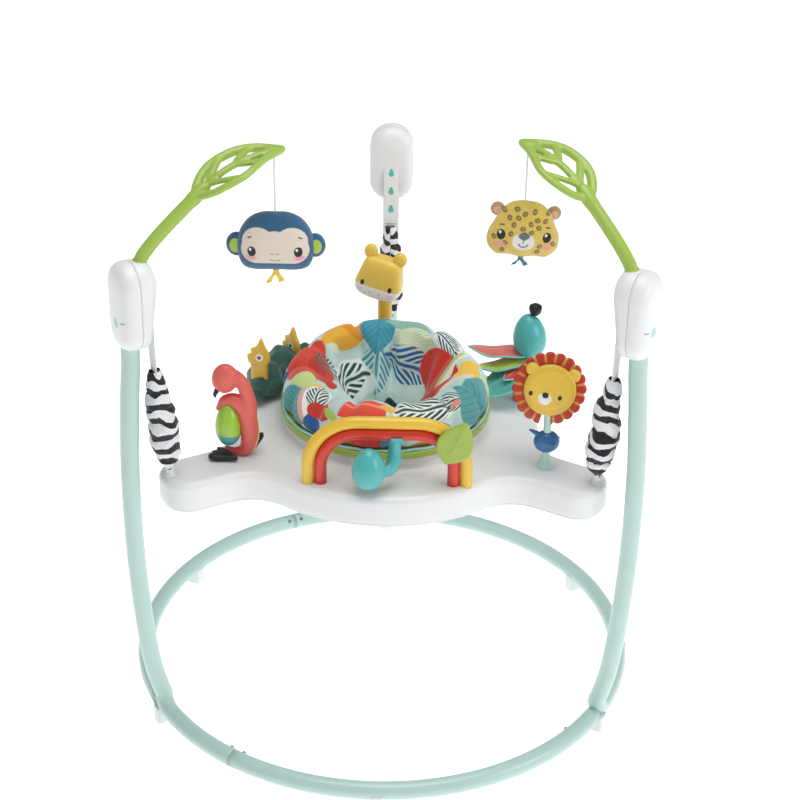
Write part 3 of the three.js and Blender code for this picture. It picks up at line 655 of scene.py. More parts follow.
# Each screw of the ring: its angle from the post, and how far it turns up from the outside.
RING_SCREWS = ((24.5, 38), (28, 38), (109.4, 25))


def foot_shell():
    """A rounded block under the ring, on a thin pad that stands on the floor."""
    block = cushion(oval(16, 11, 48, 5), 15, 15, 7, 8, edge=12).moved(turn(90, "X"))
    pad = cushion(oval(13, 8.5, 40, 5), 1.5, 1.5, 6, 4, edge=1.2).moved(turn(90, "X"))
    return block.moved(shift(0, 0, FLOOR + 15.4)) + pad.moved(shift(0, 0, FLOOR + 1.5))


def build_frame():
    ring_line = [on_ring(RING_TUBE_START + (RING_TUBE_END - RING_TUBE_START) * i / 40) for i in range(41)]
    for side, azimuth in STATIONS.items():
        here = turn(azimuth)
        make(f"post_tube_{side}", tube(leg_path(), TUBE_RADIUS, 28, ends=False), MINT, "frame",
             [f"leg_{side}"], here)
        make(f"ring_tube_{side}", tube(ring_line, TUBE_RADIUS, 28, ends=False), MINT, "frame",
             [f"base_tube_{side}"], here)
        for angle, lift in RING_SCREWS:
            seat = here @ turn(angle) @ shift(RING_RADIUS, 0, RING_HEIGHT) @ turn(180 + lift, "Y")
            make(f"ring_screw_{side}_{round(angle)}", screw(3.2), SCREW, "frame",
                 place=seat @ shift(TUBE_RADIUS - 0.3, 0, 0))
    feet = dict(STATIONS, front=270, rear_left=150, rear_right=30)
    for side, azimuth in feet.items():
        make(f"ring_foot_{side}", foot_shell(), WHITE, "frame", [f"foot_{side}"],
             turn(azimuth) @ shift(RING_RADIUS, 0, 0))


def housing_ring(x, inset):
    """The housing's outline at a distance x from the axis."""
    half_w = HOUSING["width"] / 2 - inset
    half_h = HOUSING["height"] / 2 - inset
    corner = half_w * 0.96
    middle = HOUSING["bottom"] + HOUSING["height"] / 2
    points = []
    for k in range(96):
        c, s = cos(360 * k / 96), sin(360 * k / 96)
        y = math.copysign(half_w - corner, c) + corner * c
        z = math.copysign(half_h - corner, s) + corner * s
        points.append((x, y, z + middle))
    return points


def housing_shell(seam, face):
    """One shell, from its lip at the seam to its crowned face."""
    away = math.copysign(1, face - seam)
    soft, crown = HOUSING["round"], HOUSING["crown"]
    rings = [housing_ring(seam + away * x, inset) for x, inset in ((0, 3.2), (0, 0.9), (0.5, 0.2), (3, 0))]
    for angle in range(0, 90, 10):
        rings.append(housing_ring(face - away * (crown + soft * (1 - sin(angle))), soft * (1 - cos(angle))))
    half = HOUSING["width"] / 2 - soft
    for share in (0.8, 0.55, 0.3, 0.12):
        rings.append(housing_ring(face - away * crown * share ** 2, soft + half * (1 - share)))
    return loft(rings)


def stepped(v):
    """Sets the lower half of the inner face back, so that the strap runs down in front of it."""
    share = clamped((HOUSING["seam"] - v.x) / (HOUSING["seam"] - HOUSING["inner"]))
    return Vector((v.x + HOUSING["step"] * share * (1 - ease(v.z, 724, 738)), v.y, v.z))


def marked_plastic():
    """White plastic with a small drop and a dash on the outer face of each side housing."""
    finish = plastic("marked_white_plastic", "#e9eaeb", 0.36, 0.15, 0.01)
    finish.paint_both("ellipse", (378, 722), (4.2, 5), "#9cd3cc", soft=0.2)
    finish.paint_both("leaf", (378, 727), (3.2, 5.5), "#9cd3cc", soft=0.2)
    finish.paint_both("leaf", (366, 729), (1.1, 6), "#8d9094", turn_by=70, soft=0.3)
    return finish.done()


def build_housings():
    marked = marked_plastic()
    for side, azimuth in STATIONS.items():
        here = turn(azimuth)
        make(f"post_cap_outer_{side}", housing_shell(HOUSING["seam"] + 0.2, HOUSING["outer"]),
             WHITE if side == "rear" else marked, "frame", [f"housing_outer_{side}"], here,
             uv=lambda v: ((here @ v).x, v.z))
        inner_shell = housing_shell(HOUSING["seam"] - 0.2, HOUSING["inner"]).shaped(stepped)
        make(f"post_cap_inner_{side}", inner_shell, WHITE, "frame",
             [f"housing_inner_{side}"], here)
        for number, hand in enumerate((-1, 1)):
            seat = shift(HOUSING["inner"] + CAP_SCREW["inset"], hand * CAP_SCREW["y"], CAP_SCREW["z"])
            make(f"cap_screw_{side}_{number}", screw(3.4), SCREW, "frame",
                 place=here @ seat @ turn(180))


build_frame()
build_housings()


# ---------------------------------------------------------------- straps, springs and sleeves

def spring_place():
    """The spring's own frame: its foot at the origin, and its length along +Z."""
    lean = math.degrees(math.atan2(SPRING_TOP[0] - SPRING_BOTTOM[0], SPRING_TOP[1] - SPRING_BOTTOM[1]))
    return shift(SPRING_BOTTOM[0], 0, SPRING_BOTTOM[1]) @ turn(lean, "Y")


SPRING_LENGTH = math.hypot(SPRING_TOP[0] - SPRING_BOTTOM[0], SPRING_TOP[1] - SPRING_BOTTOM[1])
# The sleeve's radius against its share of the spring's length, from its tied tail to its upper end.
SLEEVE = ((0, 5), (0.03, 7.5), (0.1, 14), (0.18, 19), (0.3, 21.5), (0.55, 20), (0.74, 17), (0.86, 13.5),
          (0.95, 11.5), (1, 9))


def sleeve_radius(share):
    for (low, start), (high, end) in zip(SLEEVE, SLEEVE[1:]):
        if share <= high:
            return start + (end - start) * ease(share, low, high)
    return SLEEVE[-1][1]


def sleeve_shell(seed):
    """Gathered cloth over the spring: it bulges between its gathers, unevenly, and is tied at its ends."""
    gathers, around, along, thickness = 6, 72, 120, 1.2
    rings, lining = [], []
    for i in range(along + 1):
        share = i / along
        ends = min(1.0, 7 * share, 7 * (1 - share))
        wave = abs(math.sin(math.pi * gathers * share + 0.5 * math.sin(7 * share + seed)))
        lean = noise.noise(Vector((seed * 3, share * 5, 1))) * 5 * ends
        ring, inner = [], []
        for k in range(around):
            c, s = cos(360 * k / around), sin(360 * k / around)
            spot = Vector((c * 1.3, s * 1.3, share * 7 + seed * 5))
            crease = noise.noise(spot) * 3.4 + noise.noise(spot * 3.1) * 1.2
            radius = sleeve_radius(share) + (3.2 * wave ** 0.6 - 1.6 + crease) * ends
            z = SPRING_LENGTH * share + noise.noise(spot * 1.7) * 2.4 * ends
            ring.append((radius * c + lean, radius * s + lean, z))
            inner.append(((radius - thickness) * c + lean, (radius - thickness) * s + lean, z))
        rings.append(ring)
        lining.append(inner)
    return loft(rings + lining[::-1], around=True)


def zebra_cloth(seed):
    """White cloth with black bands that fork, pinch and break off, no two alike."""
    band_pitch = 0.0235
    finish = cloth(f"zebra_cloth_{seed}", "#eceaee", sheen=0.2, vary=0.04)
    mapping = finish.node("Mapping", {"Vector": finish.uv(), "Location": (seed * 0.37, seed * 0.11, 0)})
    place = mapping.outputs[0]
    flat = finish.node("SeparateXYZ", {0: place})
    bend = finish.math("MULTIPLY_ADD", finish.noise(24, 1, place), 0.034, flat.outputs[1])
    lean = finish.math("MULTIPLY_ADD", flat.outputs[0], 0.12, bend)
    bands = finish.math("SINE", finish.math("MULTIPLY", lean, 2 * math.pi / band_pitch))
    uneven = finish.math("MULTIPLY_ADD", finish.noise(38, 2, place), 2.6, -1.5)
    mask = finish.edge(finish.math("ADD", bands, uneven), -0.26, 0.05)
    finish.colour = finish.mix(mask, finish.colour, linear("#1c1a20"))
    return finish.done()


def coil_shell():
    """The coil spring itself, inside the sleeve."""
    radius, wire, turns, margin, per_turn = 7, 1.4, 17, 24, 16
    points = []
    for i in range(turns * per_turn + 1):
        rise = (SPRING_LENGTH - 2 * margin) * i / (turns * per_turn)
        points.append(polar(radius, 360 * i / per_turn, margin + rise))
    return tube(points, wire, 8)


def strap_cloth(side):
    """White webbing with a sewn seam near its lower end, and a column of drops on the rear one."""
    finish = cloth(f"strap_cloth_{side}", "#f2f3f2", pitch=0.9)
    if side == "rear":
        for z in (93, 60, 27):
            finish.paint("ellipse", (0, z), (4.8, 5), "#5dbdb3")
            finish.paint("leaf", (0, z + 5), (3.4, 5), "#5dbdb3")
    finish.paint("box", (0, 2), (10, 0.8), "#77777c", strength=0.7)
    return finish.done()


def strap_shell():
    """A flat band that bows a little, and is narrower at its lower end."""
    (top_x, top_z), (low_x, low_z) = STRAP["top"], STRAP["bottom"]
    low_z -= 4
    rings = []
    for i in range(25):
        share = i / 24
        x = low_x + (top_x - low_x) * share + 0.8 * math.sin(math.pi * share)
        half = STRAP["width"] / 2 - 1.2 * math.exp(-share * 12)
        z = low_z + (top_z - low_z) * share
        rings.append([(x + 1.1 * cos(a), half * sin(a), z) for a in range(0, 360, 15)])
    return loft(rings)


def lug_shell():
    """The small post on a lobe of the tray that the spring's lower end is hooked to."""
    z = TRAY["top"]
    return turned([(0, z), (10, z), (9.5, z + 2), (6.5, z + 5), (5, z + 15), (0, z + 16)], 1.5, 48)


def build_springs():
    lift = spring_place()
    for number, (side, azimuth) in enumerate(STATIONS.items()):
        here = turn(azimuth)
        sleeve = make(f"spring_sleeve_{side}", sleeve_shell(number + 1.3), zebra_cloth(number + 1), None,
                      [f"spring_cover_{side}"], here @ lift,
                      uv=lambda v: (22 * math.atan2(v.y, v.x), v.z))
        spring = make(f"coil_spring_{side}", coil_shell(), STEEL, None, [f"spring_{side}"],
                      here @ lift)
        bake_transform(sleeve)
        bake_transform(spring)
        make(f"strap_band_{side}", strap_shell(), strap_cloth(side), "frame", [f"strap_{side}"],
             here, uv=lambda v: (v.y, v.z - STRAP["bottom"][1]))
        make(f"spring_lug_{side}", lug_shell(), WHITE, "tray", [f"spring_anchor_{side}"],
             here @ shift(SPRING_BOTTOM[0] - 1, 0, 0))


build_springs()


# ---------------------------------------------------------------- tray

def tray_outline(inset):
    """A round body with three lobes: fillet, side, rounded tip, side, fillet and body arc for each lobe."""
    half = LOBE["half_width"] - inset
    body = TRAY["body"] - inset
    fillet = LOBE["fillet"] + inset
    tip = half - 6
    tip_x = LOBE["reach"] - inset - tip
    fillet_y = half + fillet
    fillet_x = math.sqrt((body + fillet) ** 2 - fillet_y ** 2)
    bend = math.degrees(math.atan2(fillet_y, fillet_x))
    points = []

    def arc(azimuth, x, y, radius, start, end, count=14):
        for i in range(count):
            middle = turn(azimuth) @ Vector((x, y, 0))
            points.append(middle + polar(radius, azimuth + start + (end - start) * (i + 0.5) / count))

    def straight(azimuth, start_x, end_x, y):
        for i in range(4):
            points.append(turn(azimuth) @ Vector((start_x + (end_x - start_x) * (i + 0.5) / 4, y, 0)))

    for azimuth in STATIONS.values():
        arc(azimuth, fillet_x, -fillet_y, fillet, 180 - bend, 90)
        straight(azimuth, fillet_x, tip_x, -half)
        arc(azimuth, tip_x, -half + tip, tip, -90, 0)
        arc(azimuth, tip_x, half - tip, tip, 0, 90)
        straight(azimuth, tip_x, fillet_x, half)
        arc(azimuth, fillet_x, fillet_y, fillet, -90, -180 + bend)
        arc(azimuth, 0, 0, body, bend, 120 - bend, 30)
    return points


def round_about(radius, z, like):
    """A ring of points at one radius, each in the direction of a point of the outline."""
    return [(p.x, p.y, z) for p in (Vector((q.x, q.y, 0)).normalized() * radius for q in like)]


def tray_shell():
    """The wall, its soft upper edge, the deck and the raised collar round the hole, as one skin."""
    top, edge, low = TRAY["top"], TRAY["edge"], TRAY["skirt"]
    levels = [(3, low), (0.6, low), (0, low + 1.5), (0, 422), (0, 433)]
    levels += [(edge * (1 - cos(angle)), top - edge + edge * sin(angle)) for angle in range(0, 91, 10)]
    rings = [[(p.x, p.y, z) for p in tray_outline(inset)] for inset, z in levels]
    deck = tray_outline(edge)
    foot = round_about(COLLAR["foot"] + 10, 0, deck)
    for share in (0.2, 0.4, 0.6, 0.8, 1):
        rings.append([(*a.lerp(Vector(b), share).xy, top) for a, b in zip(deck, foot)])
    hole, high, collar, flare = TRAY["hole"], COLLAR["top"], COLLAR["radius"], COLLAR["foot"]
    section = ((flare + 4, top + 0.8), (flare, top + 3), (collar + 2, top + 7), (collar, top + 13),
               (collar, high - 3), (collar - 3, high), (hole + 3, high), (hole, high - 3), (hole, 440),
               (hole, low))
    rings += [round_about(radius, z, deck) for radius, z in section]
    return loft(rings, around=True)


def pan_shell():
    """The flat bottom pan, with a soft lower edge and the hole for the seat."""
    outline = tray_outline(1.5)
    low = TRAY["bottom"]
    section = ((1, low + 4), (1, low + 2), (0.996, low + 0.4), (0.97, low))
    rings = [[(p.x * share, p.y * share, z) for p in outline] for share, z in section]
    rings += [round_about(TRAY["hole"], z, outline) for z in (low, low + 4)]
    return loft(rings, around=True)


def build_tray():
    make("tray_skin", tray_shell(), WHITE, "tray", ["tray_top"])
    make("tray_pan", pan_shell(), WHITE, "tray", ["tray_base"])


build_tray()


# ---------------------------------------------------------------- seat

def build_seat_ring():
    bore, flange, low, high = (SEAT_RING[key] for key in ("bore", "radius", "bottom", "top"))
    sleeve, under = TRAY["hole"] - 1.5, COLLAR["top"] + 0.4
    profile = rounded([(bore, 450), (bore, low), (sleeve, low), (sleeve, under), (flange, under),
                       (flange, high), (bore, high), (bore, 450)], 3)
    make("seat_rim_ring", lathe(profile, 96, per=0), LIME, "seat", ["seat_ring"])


# The pad's section, from under the bowl, over the rim and down inside, as (radius at the back,
# radius at the front and sides, height), and the place along it of the rim's crest.
PAD_SECTION = [(0, 0, 306), (60, 60, 310), (92, 92, 330), (116, 116, 370), (130, 130, 425),
               (133, 133, 478), (138, 138, 487.5), (157, 157, 489), (165, 166, 500), (165, 166, 516),
               (158, 158, 536), (146, 145, 547), (132, 126, 547), (121, 104, 530), (112, 76, 505),
               (98, 54, 480), (84, 48, 455), (78, 48, 420), (72, 48, 385), (56, 38, 352), (30, 20, 333),
               (0, 0, 328)]
PAD_CREST = 11.5
# Steps between two points of the section, and points round the pad.
PAD_STEPS = 5
PAD_AROUND = 264
# The height where the rim begins, and how much higher it stands at the back.
PAD_START, PAD_RISE = 488, 23
# The length of the print once round the pad.
PAD_PERIOD = 2 * math.pi * 130


def pad_line():
    """The smooth section, each point with its length from the crest: inwards above 0, outwards below."""
    line = curve(PAD_SECTION, PAD_STEPS)
    lengths = [0.0]
    for a, b in zip(line, line[1:]):
        lengths.append(lengths[-1] + math.hypot((b.x + b.y - a.x - a.y) / 2, b.z - a.z))
    crest = lengths[round(PAD_CREST * PAD_STEPS)]
    return [(p, length - crest) for p, length in zip(line, lengths)]


def raised(v):
    """The rim stands higher at the back than at the front."""
    share = clamped((v.z - PAD_START) / 60)
    back = (1 + v.y / max(math.hypot(v.x, v.y), 1)) / 2
    return Vector((v.x, v.y, v.z + share * back ** 3 * PAD_RISE))


# Where the rim is pinched by the stitching across it, in degrees, and how deep, in millimetres.
PAD_PINCHES = ((150, 7), (176, 8), (203, 11), (229, 9), (250, 6), (277, 8), (312, 11), (338, 8), (4, 9),
               (31, 8), (57, 6), (112, 6))
# The middle of the rim's roll, as (radius, height).
PAD_ROLL_MIDDLE = (134, 516)
# The direction of the deepest fold inside, at the back.
GATHER = 85


def apart(degrees, at):
    """The angle from one direction to another, between -180 and 180."""
    return (degrees - at + 180) % 360 - 180


def pad_point(radius_back, radius_front, z, along, degrees):
    """A point of the pad before it is swollen, with its folds inside and the pinches of its rim."""
    c, s = cos(degrees), sin(degrees)
    radius = radius_front + (radius_back - radius_front) * ease(s, 0, 0.9)
    inside = ease(along, 10, 50) * ease(z, 335, 400)
    off = apart(degrees, GATHER)
    fold = sin(7 * degrees + math.degrees(1.5 * sin(2 * degrees) + 0.4)) + 0.5 * sin(17 * degrees)
    drift = noise.noise(Vector((2.4 * c, 2.4 * s, z / 50)))
    radius += inside * (15 * bell(off, 2.8) - 9 * bell(abs(off) - 12, 8) + 4.5 * fold + 9 * drift)
    point = Vector((radius, z))
    if z > PAD_START - 4:
        pinch = sum(depth * bell(apart(degrees, at), 3.2) for at, depth in PAD_PINCHES)
        swell = 5 * noise.noise(Vector((3.1 * c, 3.1 * s, along / 60 + 4))) + 1.3 * fold
        away = (point - Vector(PAD_ROLL_MIDDLE)).normalized()
        point += away * (swell - pinch) * ease(z, PAD_START - 4, 505)
    return raised(Vector((point.x * c, point.x * s, point.y)))


def pad_shell():
    rings = []
    for p, along in pad_line():
        if p.x < 0.5:
            rings.append([Vector((0, 0, p.z))])
            continue
        rings.append([pad_point(p.x, p.y, p.z, along, 360 * k / PAD_AROUND) for k in range(PAD_AROUND)])
    return loft(rings)


def pad_places():
    """Each vertex's place on the flat print: its length round the rim, from the front, and along."""
    places = []
    for p, along in pad_line():
        count = 1 if p.x < 0.5 else PAD_AROUND
        places += [(PAD_PERIOD * (((k / PAD_AROUND) + 0.25) % 1), along) for k in range(count)]
    return places


def carry_print(mesh, shell, places):
    """Lays the shell's print on a mesh made from it, from the nearest point of the shell."""
    triangles = [(f[0], f[i], f[i + 1]) for f in shell.faces for i in range(1, len(f) - 1)]
    tree = BVHTree.FromPolygons(shell.verts, triangles)
    to_drawing = ROW.inverted()
    found = []
    for vertex in mesh.vertices:
        at, _, index, _ = tree.find_nearest(to_drawing @ vertex.co)
        corners = triangles[index]
        first = places[corners[0]][0]
        flat = [Vector((nearest_turn(places[i][0], first, PAD_PERIOD), places[i][1], 0)) for i in corners]
        place = barycentric_transform(at, *(shell.verts[i] for i in corners), *flat)
        found.append((place.x, place.y))
    lay_print(mesh, found, PAD_PERIOD)


# The print, with one patch of painted shade in the well: kind, degrees round the rim, length from its crest,
# half width, half length, turn, colour.
SEAT_PRINT_AND_SHADE = (
    # the back, from its left end to its right end
    ("leaf", 123, 14, 27, 52, 84, "#e5ab33"),
    ("leaf", 113, 16, 13, 26, 60, "#dc9224"),
    ("leaf", 137, 30, 8, 16, 40, "#dce9c8"),
    ("veined", 97, 16, 30, 36, -12, "#3f98ad"),
    ("leaf", 74, 4, 15, 40, 92, "#86b5a2"),
    ("ellipse", 65, 28, 38, 17, 0, "#d4e2bd"),
    ("dots", 65, 28, 38, 17, 0, "#93a98c"),
    ("palm", 100, 74, 26, 40, -8, "#4597ab"),
    ("palm", 69, 68, 30, 58, 74, "#2b5f9f"),
    ("ellipse", 38, 12, 34, 15, 8, "#e8f2f0"),
    ("palm", 38, 10, 17, 36, 84, "#27364a"),
    # painted shade: a dark green patch at the bottom of the well under the deepest fold, partly the print's
    # dark green and partly the fold's shadow
    ("ellipse", 86, 132, 26, 14, 0, "#27423c"),
    # the left side: its inner wall, the top of the bolster, and round to the front
    ("ellipse", 146, 92, 105, 38, 0, "#e6f1ec"),
    ("palm", 146, 94, 34, 96, 98, "#1f4a41"),
    ("ellipse", 171, 8, 62, 44, 0, "#d5402b"),
    ("ellipse", 178, 30, 40, 16, 20, "#c23424"),
    ("palm", 158, 38, 26, 34, 50, "#4a5a52"),
    ("leaf", 203, -4, 25, 30, 66, "#c9d992"),
    ("leaf", 214, 12, 9, 34, 16, "#e9c44a"),
    ("veined", 207, -46, 36, 40, 10, "#5aa6ab"),
    ("ellipse", 222, -6, 22, 24, 0, "#e6f0ee"),
    ("palm", 222, -6, 18, 24, 30, "#2b4742"),
    ("leaf", 216, -36, 8, 40, 28, "#ebb3a8"),
    ("leaf", 220, -38, 5, 36, 30, "#ffffff"),
    ("ellipse", 230, -27, 22, 17, 20, "#d03a24"),
    ("leaf", 226, -60, 14, 22, 20, "#2d62a8"),
    ("leaf", 239, -6, 13, 18, 30, "#b9c9cc"),
    ("leaf", 238, -26, 7, 16, 60, "#a9c95c"),
    # the front, seen over and under the toy bar
    ("box", 257, -10, 32, 17, -4, "#e04c38"),
    ("box", 257, -2, 30, 2, -4, "#f08a70"),
    ("leaf", 278, -3, 9, 26, 86, "#e9b53f"),
    ("ellipse", 299, -10, 54, 24, 0, "#e8f2ee"),
    ("palm", 296, -10, 26, 46, 84, "#27473f"),
    ("palm", 316, -8, 18, 26, 70, "#2d4d47"),
    ("leaf", 246, -68, 20, 26, 20, "#c9a63c"),
    ("leaf", 261, -62, 24, 30, 10, "#d8392b"),
    ("leaf", 274, -62, 13, 20, -20, "#3a8fa8"),
    ("leaf", 292, -74, 9, 18, 80, "#d9882b"),
    ("leaf", 304, -56, 14, 26, 30, "#7fae4f"),
    # the right side: its inner wall and the top of the bolster
    ("ellipse", 20, 62, 92, 44, 0, "#cf3022"),
    ("ellipse", 352, 76, 50, 26, 0, "#ab2720"),
    ("leaf", 40, 84, 5, 30, 0, "#7d1f1c"),
    ("leaf", 12, 32, 9, 40, 24, "#eef0da"),
    ("leaf", 16, 34, 7, 36, 24, "#b9cb74"),
    ("leaf", 0, 2, 22, 26, 40, "#f2c84e"),
    ("veined", 336, -32, 46, 46, 24, "#56a7ab"),
    ("ellipse", 317, -15, 9, 5, 0, "#e88f86"),
    ("leaf", 349, 18, 9, 28, 30, "#e9ddcf"),
    ("leaf", 26, -20, 18, 32, 60, "#f0f4ee"),
)
OUTER_COLOURS = ("#d5402b", "#c9d992", "#3f98ad", "#e5ab33", "#2b5f9f", "#86b5a2")


def seat_cloth():
    """A print of large leaves on pale mint cloth, with a dark patch of painted shade deep in the well at the
    back. Places are (direction, length from the crest).
    """
    finish = cloth("seat_cloth", "#cbe6e0", pitch=1.2)
    outer = [("leaf" if k % 2 else "veined", 345 + 19 * k, -46 - 12 * (k % 3), 20, 34, 33 * k,
              OUTER_COLOURS[k % len(OUTER_COLOURS)]) for k in range(11)]
    for kind, degrees, along, half_width, half_length, turn_by, colour in outer + list(SEAT_PRINT_AND_SHADE):
        u = PAD_PERIOD * ((degrees + 90) % 360) / 360
        for shifted in (-PAD_PERIOD, 0, PAD_PERIOD):
            if -90 < u + shifted < PAD_PERIOD + 90:
                finish.paint(kind, (u + shifted, along), (half_width, half_length), colour, turn_by=turn_by,
                             soft=0.03, bars=7)
    return finish.done()


def applied(piece, modifier):
    """The piece's mesh with one modifier applied, which leaves the piece's stack."""
    depsgraph = bpy.context.evaluated_depsgraph_get()
    mesh = bpy.data.meshes.new_from_object(piece.evaluated_get(depsgraph))
    piece.modifiers.remove(modifier)
    return mesh


def remeshed(piece, voxel):
    remesh = piece.modifiers.new("remesh", "REMESH")
    remesh.mode = "VOXEL"
    remesh.voxel_size = voxel
    remesh.use_smooth_shade = True
    return remesh


def puffed(piece, pressure, cap):
    """Swells a padded piece by a cloth simulation under inner pressure, and applies the result."""
    voxel, frames = 0.005, 20
    even = applied(piece, remeshed(piece, voxel))
    even.materials.clear()
    even.materials.append(piece.data.materials[0])
    piece.data = even
    even.shade_smooth()
    simulated = bpy.data.objects.new("simulated", even.copy())
    bpy.context.scene.collection.objects.link(simulated)
    settings = simulated.modifiers.new("cloth", "CLOTH").settings
    settings.use_pressure = True
    settings.uniform_pressure_force = pressure
    settings.effector_weights.gravity = 0
    settings.tension_stiffness = settings.compression_stiffness = 12
    settings.bending_stiffness = 0.3
    scene = bpy.context.scene
    for number in range(1, frames + 1):
        scene.frame_set(number)
    swollen = simulated.evaluated_get(bpy.context.evaluated_depsgraph_get()).to_mesh()
    for vertex, end in zip(even.vertices, swollen.vertices):
        move = end.co - vertex.co
        if move.length > cap:
            move *= cap / move.length
        vertex.co += move
    bpy.data.objects.remove(simulated)
    scene.frame_set(1)


def build_seat():
    build_seat_ring()
    shell = pad_shell()
    pad = make("seat_cushion", shell, seat_cloth(), "seat", ["seat_pad"])
    cut_leg_holes(pad)
    puffed(pad, pressure=3.0, cap=0.005)
    carry_print(pad.data, shell, pad_places())
    modifier = pad.modifiers.new("smooth", "SUBSURF")
    modifier.levels = modifier.render_levels = 1
    piping = [raised(polar(162, 2.5 * k, 490 + 0.6 * math.sin(k))) for k in range(144)]
    make("seat_piping", tube(piping + [piping[0]], 2.0, 10, ends=False),
         cloth("mint_piping", "#a9dfe0", pitch=0.8).done(), "seat")


def leg_hole_place(side):
    """Where a leg hole goes through the bowl: low, at one side, and leaning outwards and forward."""
    return shift(side * 48, -52, 330) @ turn(-side * 16, "Y") @ turn(-24, "X")


def cut_leg_holes(piece):
    rod = loft([circle(36, 48, -60), circle(36, 48, 60)])
    for side in (-1, 1):
        mesh = bpy.data.meshes.new("leg_hole")
        mesh.from_pydata([ROW @ leg_hole_place(side) @ v for v in rod.verts], [], rod.faces)
        cutter = bpy.data.objects.new("leg_hole", mesh)
        bpy.context.scene.collection.objects.link(cutter)
        modifier = piece.modifiers.new("hole", "BOOLEAN")
        modifier.object = cutter
        modifier.operation = "DIFFERENCE"
        modifier.solver = "EXACT"
        piece.data = applied(piece, modifier)
        bpy.data.objects.remove(cutter)


build_seat()


# ---------------------------------------------------------------- leaf arms

# The arm's middle line, as (distance out from its root, height), and the leaf on its outer half.
ARM_PROFILE = [(0, 776), (0, 806), (21, 831), (56, 860), (92, 887), (125, 910), (160, 924), (195, 930),
               (228, 931)]
ARM_LINE = curve([(-r, 0, z) for r, z in ARM_PROFILE], 16)
ARM_RADIUS, LEAF_START, LEAF_HALF_WIDTH = 9.6, 0.5, 37


def arm_point(share):
    """A point along the arm's middle line; share runs by the profile's points."""
    at = clamped(share) * (len(ARM_LINE) - 1)
    i = min(int(at), len(ARM_LINE) - 2)
    return ARM_LINE[i].lerp(ARM_LINE[i + 1], at - i)


def leaf_point(along, side):
    """A point of the leaf; side is -1 at its full far edge and 1 at its near one, which is hollowed."""
    point = arm_point(LEAF_START + (1 - LEAF_START) * along)
    width = LEAF_HALF_WIDTH * max(0.0, math.sin(math.pi * along ** 0.75)) ** 0.85
    width *= 1 + (0.26 if side < 0 else -0.38) * ease(along, 0.4, 0.85)
    return Vector((point.x, point.y + side * width, point.z - side * width * (0.04 if side < 0 else 0.12)))


def leaf_arm_shell(near):
    """The bowed stem and the open leaf on it: its rim, middle rib and side veins, still separate."""
    parts = tube([arm_point(LEAF_START * i / 30) for i in range(31)], ARM_RADIUS, 28)
    parts += tube([arm_point(LEAF_START + 0.09 * (i / 10 - 0.5)) for i in range(11)],
                  lambda s: ARM_RADIUS + 1.2 * math.sin(math.pi * s), 28)
    for side in (-1, 1):
        parts += tube([leaf_point(i / 40, side * 0.97) for i in range(41)], 7.4, 16, flat=0.72)
        for start, end in ((0.13, 0.4), (0.46, 0.74)):
            shares = [i / 12 for i in range(13)]
            vein = [leaf_point(start + (end - start) * s, side * 0.93 * s ** 0.9) for s in shares]
            parts += tube(vein, 5.9, 16, flat=0.7)
    parts += tube([leaf_point(i / 40, 0) for i in range(41)], 6.4, 16, flat=0.75)
    parts += ball(16, 13, 8, 32, 12).moved(shift(-217, -3, 930.5))
    return parts.shaped(lambda v: Vector((v.x, v.y * near, v.z)))


def melted(piece, voxel, rounds=6):
    """Melts crossing tubes into one moulded body with soft inner corners."""
    remeshed(piece, voxel)
    smooth = piece.modifiers.new("soften", "SMOOTH")
    smooth.factor = 0.5
    smooth.iterations = rounds


def arm_place(side):
    return turn(STATIONS[side]) @ shift(ARM_ROOT, 0, 0) @ turn(ARM_TURN[side])


def build_arms():
    collar = turned([(0, 798), (10.8, 798), (10.8, 809), (9.8, 810.5), (0, 810.5)], 0.8, 40)
    for side, near in (("left", 1), ("right", -1)):
        arm = make(f"leaf_branch_{side}", leaf_arm_shell(near), LIME, f"arm_{side}",
                   [f"leaf_arm_{side}"], arm_place(side))
        melted(arm, 0.0014)
        make(f"arm_collar_{side}", collar, LIME, f"arm_{side}", place=arm_place(side))


build_arms()


# ---------------------------------------------------------------- hanging plush heads

def string_place(side):
    return arm_place(side) @ shift(-STRING_REACH, 0, 0)


def hang_string(side, body, bottom):
    """The string, straight down from the leaf's tip to its end inside the head."""
    top = ROW @ string_place(side) @ Vector((0, 0, STRING_TOP))
    low = ROW @ string_place(side) @ Vector((0, 0, bottom))
    data = bpy.data.curves.new(f"toy_string_{side}", "CURVE")
    data.dimensions = "3D"
    data.bevel_depth = STRING_DIAMETER / 2
    spline = data.splines.new("POLY")
    spline.points.add(15)
    for i, point in enumerate(spline.points):
        point.co = (*top.lerp(low, i / 15), 1)
    data.materials.append(CORD)
    string = bpy.data.objects.new(f"toy_string_{side}", data)
    bpy.context.scene.collection.objects.link(string)
    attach(string, body)
    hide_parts(f"string_{side}")


def upright(side):
    """Turns a toy on a string to face the front, whatever way its arm is turned."""
    return shift(*string_place(side).translation)


def ribbon(tails, width):
    """Flat ribbon tails hanging from one knot at the origin, each an end point below it."""
    thickness = 1.6
    parts = ball(4.4, 3.4, 3.2, 20, 10)
    for x, z in tails:
        line = curve([(0, 0, 0), (x * 0.35, -1.5, z * 0.35), (x * 0.8, 0.5, z * 0.7), (x, 1, z)], 5)
        rings = []
        for i, p in enumerate(line):
            half = width / 2 * (0.6 + 0.4 * i / (len(line) - 1))
            rings.append([p + Vector((half * cos(a), thickness / 2 * sin(a), 0.3 * half * cos(a)))
                          for a in range(0, 360, 30)])
        parts += loft(rings)
    return parts


MONKEY_BLUE, MONKEY_FACE, MONKEY_LINE = "#2a6490", "#ece0cf", "#8c7a76"


